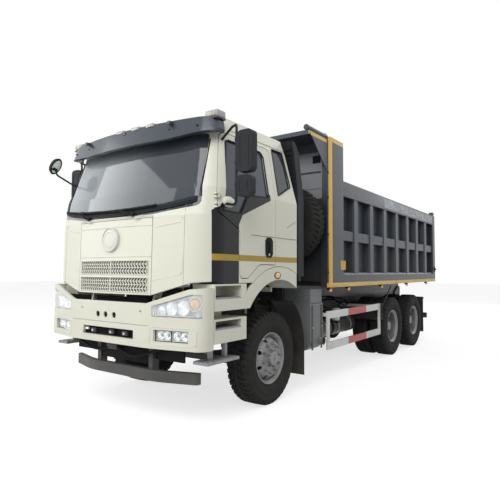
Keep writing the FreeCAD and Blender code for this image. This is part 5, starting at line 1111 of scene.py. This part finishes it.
def make_doors():
    for side, sign in SIDES:
        trim = Piece("door_trim_" + side)
        x = sign * (CAB_HALF + 0.0005)
        trim.plate("x", HANDLE_RECESS, (x - 0.004, x + 0.004), "hole", 0.0015)
        trim.tube([(x + sign * 0.003, y, z) for y, z in HANDLE_RECESS], 0.005, "seal", closed=True)
        middle = -0.2335
        grip = ((0.004, 1.905), (0.026, 1.892), (0.026, 1.8), (0.004, 1.785))
        trim.tube(eased([(x + sign * out, middle, z) for out, z in grip], 0.02), 0.013, "seal", 10)
        lock = [(x + sign * out, middle, 1.752) for out in (0.003, 0.01)]
        trim.rod(*lock, 0.013, "silver", bevel=0.002)
        seal = [(sign * (cab_side_x(z) + 0.001), y, z) for y, z in DOOR_WINDOW]
        trim.tube(seal, 0.008, "seal", closed=True)
        # The waist fold and the padded foot of the mirror arm
        trim.tube([(sign * CAB_HALF, y, WAIST_Z) for y in (-0.58, -0.11)], 0.004, "joint", 6)
        bulge = [(0, 0.046)]
        for step in range(1, 9):
            angle = math.pi * step / 16
            bulge.append((math.sin(angle), 0.046 * math.cos(angle)))
        shape = aimed((sign * 1.238, -0.975, 2.262), (sign, 0, 0))
        stretch = Matrix.Diagonal((0.095, 0.058, 1, 1))
        trim.lathe(bulge, "cab", 32, shape @ stretch)
        trim.done("door_" + side, "cab_paint")
        make_mirror_detail(side, sign)
    trim = Piece("cab_side_trim")
    seal = [(cab_side_x(z) + 0.001, y, z) for y, z in QUARTER_WINDOW]
    trim.tube(seal, 0.008, "seal", closed=True)
    trim.tube([(CAB_HALF, y, WAIST_Z) for y in (-0.085, 0.385)], 0.004, "joint", 6)
    trim.tube([(CAB_HALF, y, 2.09 + 0.42 * (y - 0.16)) for y in (0.16, 0.375)], 0.003, "joint", 6)
    trim.tube([(cab_side_x(3.06) + 0.002, y, 3.06) for y in spaced(-0.8, 0.26, 8)], 0.007, "cab")
    trim.mirror().done("cab", "cab_paint")
    lamp = Piece("fender_repeaters")
    facing = aimed(REPEATER, (1, 0, 0)) @ Matrix.Diagonal((1.3, 0.78, 1, 1))
    lamp.lathe([(0, 0.014), (0.03, 0.011), (0.043, 0.002), (0.043, 0), (0, 0)], "amber_lens", 24, facing)
    lamp.lathe([(0.04, 0.004), (0.049, 0.006), (0.053, 0), (0.04, 0)], "seal", 24, facing, closed=True)
    lamp.mirror().done("chassis", "lamp")


# Inner and outer x, lower and upper z
MIRROR_HEADS = ((1.4, 1.585, 2.53, 2.945), (1.4, 1.57, 2.29, 2.5))
MIRROR_Y = {1: -1.035, -1: -0.885}
GLASS_MARGIN = 0.014
GLASS_CORNER = 0.034


def make_mirror_detail(side, sign):
    """The glass, the ribs and the clamps of a door's mirrors."""
    detail = Piece("mirror_detail_" + side)
    y = MIRROR_Y[sign]
    for inner, outer, low, high in MIRROR_HEADS:
        left, right = sorted((sign * (inner + GLASS_MARGIN), sign * (outer - GLASS_MARGIN)))
        wide = (right - left) / 2 - GLASS_CORNER
        tall = (high - low) / 2 - GLASS_MARGIN - GLASS_CORNER
        outline = []
        for step in range(24):
            angle = 2 * math.pi * (step + 0.5) / 24
            x = (left + right) / 2 + math.copysign(wide, math.cos(angle)) + GLASS_CORNER * math.cos(angle)
            z = (low + high) / 2 + math.copysign(tall, math.sin(angle)) + GLASS_CORNER * math.sin(angle)
            outline.append((x, z))
        detail.plate("y", outline, (y + 0.066, y + 0.0715), "mirror", 0)
        detail.tube([(x, y + 0.0705, z) for x, z in outline], 0.004, "seal", 6, closed=True)
        for share in (0.16, 0.84):
            x = left + (right - left) * share
            detail.tube([(x, y - 0.0195, z) for z in (low + 0.055, high - 0.055)], 0.005, "plastic")
    for z in (2.4, 2.62, 2.85):
        clamp = [(sign * 1.385, y, z + end) for end in (-0.004, 0.034)]
        detail.rod(*clamp, 0.019, "plastic", bevel=0.003)
    detail.done("door_" + side, "black_plastic")


make_front_lamps()
make_bumper_trim()
make_grille()
make_cab_front()
make_visor()
make_doors()


# Steps, load body and what hangs along the rails

def make_step_pads():
    """Raised bars on the treads."""
    pads = Piece("step_pads")
    for top in (1.299, 0.999):
        for y in spaced(-1.15, -0.772, 15):
            pads.block((1.008, y - 0.006, top - 0.002), (1.234, y + 0.006, top + 0.004), "tread", 0.002)
    for y in spaced(-1.25, -0.79, 17):
        pads.block((1.058, y - 0.006, 0.688), (1.224, y + 0.006, 0.694), "tread", 0.002)
    pads.mirror().done("chassis", "tread_metal")


SILL_Z = 1.372
SILL_LOOPS_Y = (1.45, 2.79, 4.14, 5.49, 6.84)
BED_LAMPS_Y = (1.385, 2.013, 3.467, 4.95, 6.42)


def make_bed_detail():
    trim = Piece("bed_trim")
    for sign in (1, -1):
        # Pipe up the front corner with its clamps, in near black: partly the pipe's own colour, partly
        # painted shade of the corner post
        x = sign * 1.2
        pipe = [(x, 1.335, SILL_Z), (x, 1.335, 3.02), (x * 0.975, 1.3, 3.1)]
        trim.tube(eased(pipe, 0.05), 0.014, "hole", 12)
        for z in (1.55, 2.1, 2.62, 2.98):
            trim.block((x - 0.026, 1.312, z - 0.016), (x + 0.026, 1.356, z + 0.016), "hole", 0.004)
        # Tailgate pin's nut, stop and latch
        trim.rod((sign * 1.196, 7.182, 2.985), (sign * 1.228, 7.182, 2.985), 0.034, "steel", 6, bevel=0.003)
        left, right = sorted((sign * 1.15, sign * 1.262))
        trim.block((left, 7.06, 1.56), (right, 7.12, 1.7), "hole", 0.012)
        trim.rod((sign * 1.245, 7.09, 1.63), (sign * 1.285, 7.09, 1.63), 0.022, "hole", 14, bevel=0.003)
        for y in SILL_LOOPS_Y:
            loop = [(1.24, y), (1.262, y), (1.262, y + 0.11), (1.24, y + 0.11)]
            trim.tube(eased([(sign * out, y, SILL_Z) for out, y in loop], 0.02), 0.007, "bed")
    # Slot and folds of the front wall
    trim.block((0.97, 1.345, 3.13), (1.13, 1.356, 3.25), "hole")
    for z in (2.77, 3.33):
        trim.tube([(x, 1.351, z) for x in (-1.12, 1.12)], 0.008, "bed")
    for x in (-0.6, 0, 0.6):
        trim.block((x - 0.045, 1.325, 2), (x + 0.045, 1.356, 3.34), "bed", 0.008)
    # The bare label
    trim.block((1.248, 1.692, 1.59), (1.2535, 1.862, 1.725), "yellow", 0.002)
    trim.done("bed", "bed_paint")
    lamps = Piece("bed_side_lamps")
    for y in BED_LAMPS_Y:
        lamps.block((1.19, y - 0.04, 1.305), (1.236, y + 0.04, 1.341), "hole", 0.004)
        lamps.block((1.222, y - 0.032, 1.277), (1.243, y + 0.032, 1.322), "amber_lens", 0.006, steps=2)
    lamps.mirror().done("bed", "red_lamp")


def rounded_box(wide, tall, corner, steps=6):
    """The outline of a box with round corners about the origin."""
    out = []
    for quarter, (u, v) in enumerate(((1, 1), (-1, 1), (-1, -1), (1, -1))):
        for step in range(steps + 1):
            angle = math.pi / 2 * (quarter + step / steps)
            u_place = u * (wide - corner) + corner * math.cos(angle)
            out.append((u_place, v * (tall - corner) + corner * math.sin(angle)))
    return out


def strap(piece, centre, box, y, half, thick):
    """A flat steel strap round a tank that lies along the truck."""
    wide, tall, corner = box
    inner = rounded_box(wide, tall, corner)
    outer = rounded_box(wide + thick, tall + thick, corner + thick)
    count = len(inner)
    verts = []
    for place in (y - half, y + half):
        for ring in (inner, outer):
            verts += [(centre[0] + u, place, centre[1] + v) for u, v in ring]
    faces = []
    for a in range(count):
        b = (a + 1) % count
        faces += [
            (a, b, b + count, a + count),
            (a + count, b + count, b + 3 * count, a + 3 * count),
            (a + 2 * count, a + 3 * count, b + 3 * count, b + 2 * count),
            (a, a + 2 * count, b + 2 * count, b),
        ]
    piece.add(verts, faces, "steel")


OUTLET = (1.19, 1.24, 0.602)
AIR_BANDS_Y = (1.68, 2.17, 2.63, 3.12)
TANK_BANDS_Y = (1.72, 2.41)
HOSES_Y = (1.55, 1.68, 1.83, 2.42, 2.58)


def make_rail_trim():
    trim = Piece("rail_side_trim")
    # Silencer: straps, folded seams and the open outlet
    for y in (0.985, 1.25):
        trim.block((1.146, y - 0.02, 0.5), (1.157, y + 0.02, 1.105), "bar")
        trim.rod((1.155, y, 0.8), (1.168, y, 0.8), 0.011, "steel", 6, bevel=0.002)
    for z in (0.64, 0.96):
        trim.tube([(1.151, y, z) for y in (0.945, 1.285)], 0.004, "silencer")
    trim.rod(OUTLET, (OUTLET[0] + 0.0035, *OUTLET[1:]), 0.044, "hole", 24)
    lip = [(0.044, 0), (0.056, 0), (0.056, 0.006), (0.044, 0.006)]
    trim.lathe(lip, "bar", 28, aimed(OUTLET, (1, 0, 0)), closed=True)
    # Bands and end fittings of the air bottles
    for y in AIR_BANDS_Y:
        strap(trim, (0.65, 0.64), (0.1405, 0.1405, 0.1404), y, 0.02, 0.004)
        trim.block((0.6, y - 0.018, 0.772), (0.7, y + 0.018, 0.8), "frame", 0.004)
    # Right side: tank bands, filler, battery cover
    for y in TANK_BANDS_Y:
        strap(trim, (-0.815, 0.72), (0.3005, 0.3005, 0.1105), y, 0.028, 0.005)
    trim.rod((-0.87, 1.56, 1.015), (-0.87, 1.56, 1.058), 0.056, "steel", 28, bevel=0.006)
    trim.block((-1.062, 2.795, 0.9), (-0.495, 3.385, 0.946), "plastic", 0.01, steps=2)
    for x in (-0.9, -0.65):
        trim.block((x - 0.018, 2.786, 0.84), (x + 0.018, 2.802, 0.93), "steel")
    # Air dryer, its bracket and the hoses round it
    place = at(0.93, 2.2, 0)
    trim.block((0.455, 2.15, 0.985), (0.96, 2.25, 0.998), "frame")
    trim.rod(place + at(0, 0, 0.79), place + at(0, 0, 0.985), 0.062, "silver", 28, bevel=0.012)
    trim.rod(place + at(0, 0, 0.75), place + at(0, 0, 0.8), 0.045, "hole", 24, bevel=0.006)
    for index, y in enumerate(HOSES_Y):
        sag = 1.02 - 0.05 * (index % 3)
        line = [
            (0.458, y, 1.12), (0.62, y, 1.15), (0.86 + 0.03 * index, y + 0.05, sag + 0.1),
            (0.84, y + 0.16, sag), (0.62, y + 0.22, sag + 0.12), (0.458, y + 0.24, 1.06),
        ]
        trim.tube(eased(line, 0.11), 0.011, "hole", 10)
    # Stay of the rear mudguards
    trim.tube([(1.15, 4.195, 1.285), (1.15, 3.789, 0.99)], 0.012, "frame", 10)
    trim.done("chassis", "frame_paint")


def make_radiator_face():
    """The dark face behind the gap over the bumper, and its foot, shields and hoses below."""
    core = Piece("radiator_face")
    for low, high in ((-0.44, 0.44), (0.548, 0.94), (-0.94, -0.548)):
        core.block((low, -1.305, 1.13), (high, -1.29, 1.284), "hole")
    for z in spaced(1.15, 1.27, 7):
        core.tube([(x, -1.306, z) for x in (-0.43, 0.43)], 0.003, "plastic", 6)
    core.block((-0.43, -1.24, 0.58), (0.43, -1.08, 0.86), "hole", 0.02, steps=2)
    for low, high in ((0.47, 0.88), (-0.88, -0.47)):
        core.block((low, -1.22, 0.64), (high, -1.19, 0.86), "hole", 0.006)
    for shift in (0, 0.07):
        hose = [
            (-0.84, -1.28 + shift, 0.77), (-0.45, -1.3 + shift, 0.66 + shift), (-0.1, -1.28 + shift, 0.73),
            (0.24, -1.31 + shift, 0.64 + shift), (0.66, -1.28 + shift, 0.78),
        ]
        core.tube(eased(hose, 0.12), 0.015, "hole", 10)
    core.block((-0.24, -1.3, 0.69), (-0.06, -1.24, 0.78), "bar", 0.01, steps=2)
    core.done("chassis", "black_plastic")


def make_snorkel_slats():
    air = Piece("snorkel_trim")
    for z in spaced(2.7, 3.14, 9):
        # The snorkel's lower part leans back
        front = 0.326 + 0.105 * max(0, 3.06 - z)
        air.block((1.11, front, z), (1.208, 0.345, z + 0.012), "hole", 0.002)
    air.done("chassis", "black_plastic")


# Seats

SEAT_X = 0.56
PAD_MARGIN = 0.016
PAD_VOXEL = 0.014
PAD_FRAMES = 20
PAD_PRESSURE = 4
SEAM_DEPTH = 0.008
SEAM_WIDTH = 0.011
PADS = (
    # size, turn about X, middle as (y, z), seams as (axis, place)
    ((0.5, 0.54, 0.14), 0, (-0.33, 1.81), ((0, -0.145), (0, 0.145), (1, -0.12), (1, 0.06))),
    (
        (0.46, 0.62, 0.108), 78.4, (-0.0525, 2.185),
        ((0, -0.135), (0, 0.135), (1, -0.15), (1, 0.01), (1, 0.17)),
    ),
    ((0.24, 0.18, 0.09), 90, (0.005, 2.58), ((1, 0),)),
)


def keep_result(thing):
    """Replace a thing's mesh by what its modifiers make of it."""
    shown = thing.evaluated_get(bpy.context.evaluated_depsgraph_get())
    mesh = bpy.data.meshes.new_from_object(shown)
    thing.modifiers.clear()
    thing.data = mesh


def stuffed(size, seams):
    """A pad about the origin: a smaller block swelled by cloth simulation, then sewn along its seams."""
    half = [value / 2 - PAD_MARGIN for value in size]
    start = Piece("pad")
    start.block([-value for value in half], half, "cloth", half[2] * 0.7, steps=3)
    mesh = bpy.data.meshes.new("pad")
    mesh.from_pydata(start.verts, [], start.faces)
    pad = bpy.data.objects.new("pad", mesh)
    scene.collection.objects.link(pad)
    remesh = pad.modifiers.new("Remesh", "REMESH")
    remesh.mode = "VOXEL"
    remesh.voxel_size = PAD_VOXEL
    keep_result(pad)
    before = [vert.co.copy() for vert in pad.data.vertices]
    cloth = pad.modifiers.new("Cloth", "CLOTH")
    cloth.settings.use_pressure = True
    cloth.settings.uniform_pressure_force = PAD_PRESSURE
    cloth.settings.effector_weights.gravity = 0
    for step in range(1, PAD_FRAMES + 1):
        scene.frame_set(step)
    keep_result(pad)
    scene.frame_set(1)
    for vert, old in zip(pad.data.vertices, before):
        moved = vert.co - old
        if moved.length > PAD_MARGIN:
            vert.co = old + moved.normalized() * PAD_MARGIN
    pad.modifiers.new("Subdivision", "SUBSURF")
    keep_result(pad)
    verts = [vert.co.copy() for vert in pad.data.vertices]
    for point in verts:
        for axis, place in seams if point.z > 0 else ():
            depth = math.exp(-((point[axis] - place) / SEAM_WIDTH) ** 2)
            point.z -= SEAM_DEPTH * depth * min(point.z / half[2], 1)
    faces = [tuple(face.vertices) for face in pad.data.polygons]
    bpy.data.objects.remove(pad)
    return verts, faces


def rim_line(verts, steps=56):
    """The outline of a pad at half its thickness, where its cover is sewn together."""
    reach = [None] * steps
    for point in verts:
        if abs(point.z) < 0.01:
            index = int((math.atan2(point.y, point.x) / (2 * math.pi) % 1) * steps) % steps
            if reach[index] is None or point.xy.length > reach[index].xy.length:
                reach[index] = point
    return [at(point.x, point.y, 0) for point in reach if point is not None]


def make_seats():
    pads = [stuffed(size, seams) for size, turn, middle, seams in PADS]
    for side, sign in SIDES:
        seat = Piece("seat_" + side)
        x = sign * SEAT_X
        for (verts, faces), (size, turn, middle, seams) in zip(pads, PADS):
            place = shifted(x, *middle) @ Matrix.Rotation(math.radians(turn), 4, "X")
            seat.add([place @ point for point in verts], faces, "cloth")
            seat.tube([place @ point for point in rim_line(verts)], 0.0045, "seal", closed=True)
        piece = seat.done("cab", "seat_fabric", ["seats"], smooth=60)
        base = Piece("seat_base_" + side)
        base.block((x - 0.195, -0.515, 1.482), (x + 0.195, -0.085, 1.56), "dash", 0.008, steps=2)
        base.block((x - 0.165, -0.48, 1.555), (x + 0.165, -0.12, 1.7), "hole", 0.006)
        base.block((x - 0.195, -0.515, 1.69), (x + 0.195, -0.085, 1.748), "dash", 0.01, steps=2)
        for z in spaced(1.58, 1.68, 5):
            fold = ((-0.18, -0.495), (0.18, -0.495), (0.18, -0.105), (-0.18, -0.105))
            base.tube([(x + offset, y, z) for offset, y in fold], 0.01, "seal", closed=True)
        for offset in (-0.17, 0.17):
            stay = ((-0.115, 1.735), (-0.105, 1.9), (-0.055, 2.15))
            base.tube([(x + offset, y, z) for y, z in stay], 0.012, "frame", 10)
        for offset in (-0.06, 0.06):
            base.rod((x + offset, 0.002, 2.47), (x + offset, 0.005, 2.52), 0.006, "chrome", 12)
        base.done("cab", "dash_plastic")


def make_cockpit():
    """The hood over the dials, the dials and the knobs beside them."""
    dash = Piece("dashboard_trim")
    hood = [(-1.2, 2.14), (-0.93, 2.14), (-0.905, 2.165), (-0.915, 2.196), (-1.02, 2.205), (-1.18, 2.165)]
    dash.plate("x", hood, (0.36, 0.76), "dash", 0.01, 2)
    dial = [(0, 0.002), (0.058, 0.002), (0.062, 0.008), (0.068, 0.006), (0.068, -0.01), (0, -0.01)]
    for x in (0.46, 0.66):
        facing = aimed((x, -0.899, 2.06), (0, 1, 0.15))
        dash.lathe(dial, "seal", 32, facing)
        dash.lathe([(0.048, 0.0025), (0.05, 0.004), (0.052, 0.0025)], "silver", 32, facing, closed=True)
    for x in spaced(-0.2, 0.2, 6):
        dash.rod((x, -0.905, 1.93), (x, -0.885, 1.93), 0.016, "seal", bevel=0.003)
    dash.block((-0.22, -0.908, 1.97), (0.22, -0.893, 2.1), "hole", 0.006)
    for low, high in ((-1.1, -0.8), (0.86, 1.1)):
        for z in spaced(2.035, 2.105, 4):
            dash.block((low, -0.904, z), (high, -0.894, z + 0.008), "seal", 0.002)
    dash.done("cab", "dash_plastic")
    hub = Piece("steering_hub")
    axis = at(0, -0.563, -0.826)
    centre = at(SEAT_X, -0.8, 2.18)
    hub.rod(centre + axis * 0.012, centre - axis * 0.022, 0.062, "seal", 32, bevel=0.01)
    hub.done("steering_wheel", "dash_plastic")


make_step_pads()
make_bed_detail()
make_rail_trim()
make_radiator_face()
make_snorkel_slats()
make_seats()
make_cockpit()


# Camera, light and floor

camera_data = bpy.data.cameras.new("Camera")
camera_data.sensor_width = 36.0
camera_data.lens = 33.12
camera = bpy.data.objects.new("Camera", camera_data)
camera.location = (4.112, -7.4825, 1.561)
camera.rotation_euler = (math.radians(92.67), math.radians(-0.21), math.radians(35.58))
scene.collection.objects.link(camera)
scene.camera = camera


def seen_ray(node_tree):
    """1 for rays that show the surroundings: to the camera, off a mirror or through glass."""
    light_path = node_tree.nodes.new("ShaderNodeLightPath")
    seen = light_path.outputs["Is Camera Ray"]
    for name in ("Is Glossy Ray", "Is Transmission Ray"):
        larger = node_tree.nodes.new("ShaderNodeMath")
        larger.operation = "MAXIMUM"
        node_tree.links.new(seen, larger.inputs[0])
        node_tree.links.new(light_path.outputs[name], larger.inputs[1])
        seen = larger.outputs[0]
    return seen


world = bpy.data.worlds.new("World")
scene.world = world
world.use_nodes = True
tree = world.node_tree
background = tree.nodes["Background"]
background.inputs["Color"].default_value = (1.0, 1.0, 1.0, 1.0)
strength = tree.nodes.new("ShaderNodeMapRange")
strength.inputs[3].default_value = 0.56
strength.inputs[4].default_value = 1.0
tree.links.new(seen_ray(tree), strength.inputs[0])
tree.links.new(strength.outputs[0], background.inputs["Strength"])

# Name, power, size, place, what it looks at
for name, power, size, place, aim in (
    ("Key", 1170, 9, (5, -13, 10), (0, 0, 1.2)),
    ("Fill", 710, 10, (-10, -12, 6), (0, -1, 1.4)),
    ("Back", 500, 9, (2, 14, 9), (0, 0, 1.5)),
):
    lamp = bpy.data.lights.new(name, "AREA")
    lamp.energy = power
    lamp.size = size
    lamp_object = bpy.data.objects.new(name, lamp)
    lamp_object.location = place
    lamp_object.rotation_euler = (Vector(aim) - Vector(place)).to_track_quat("-Z", "Y").to_euler()
    scene.collection.objects.link(lamp_object)

floor_mesh = bpy.data.meshes.new("Floor")
reach = 60
corners = [(-reach, -reach, 0), (reach, -reach, 0), (reach, reach, 0), (-reach, reach, 0)]
floor_mesh.from_pydata(corners, [], [(0, 1, 2, 3)])
floor = bpy.data.objects.new("Floor", floor_mesh)
scene.collection.objects.link(floor)
floor_look = bpy.data.materials.new("floor")
floor_look.use_nodes = True
floor_tree = floor_look.node_tree
floor_shader = floor_tree.nodes["Principled BSDF"]
floor_shader.inputs["Base Color"].default_value = (0.42, 0.42, 0.42, 1.0)
floor_shader.inputs["Roughness"].default_value = 1.0
floor_shader.inputs["Specular IOR Level"].default_value = 0.0
floor_shader.inputs["Emission Color"].default_value = (1.0, 1.0, 1.0, 1.0)
floor_glow = floor_tree.nodes.new("ShaderNodeMath")
floor_glow.operation = "MULTIPLY"
floor_glow.inputs[1].default_value = 0.70
floor_tree.links.new(seen_ray(floor_tree), floor_glow.inputs[0])
floor_tree.links.new(floor_glow.outputs[0], floor_shader.inputs["Emission Strength"])
floor_mesh.materials.append(floor_look)

scene.view_settings.view_transform = "Standard"
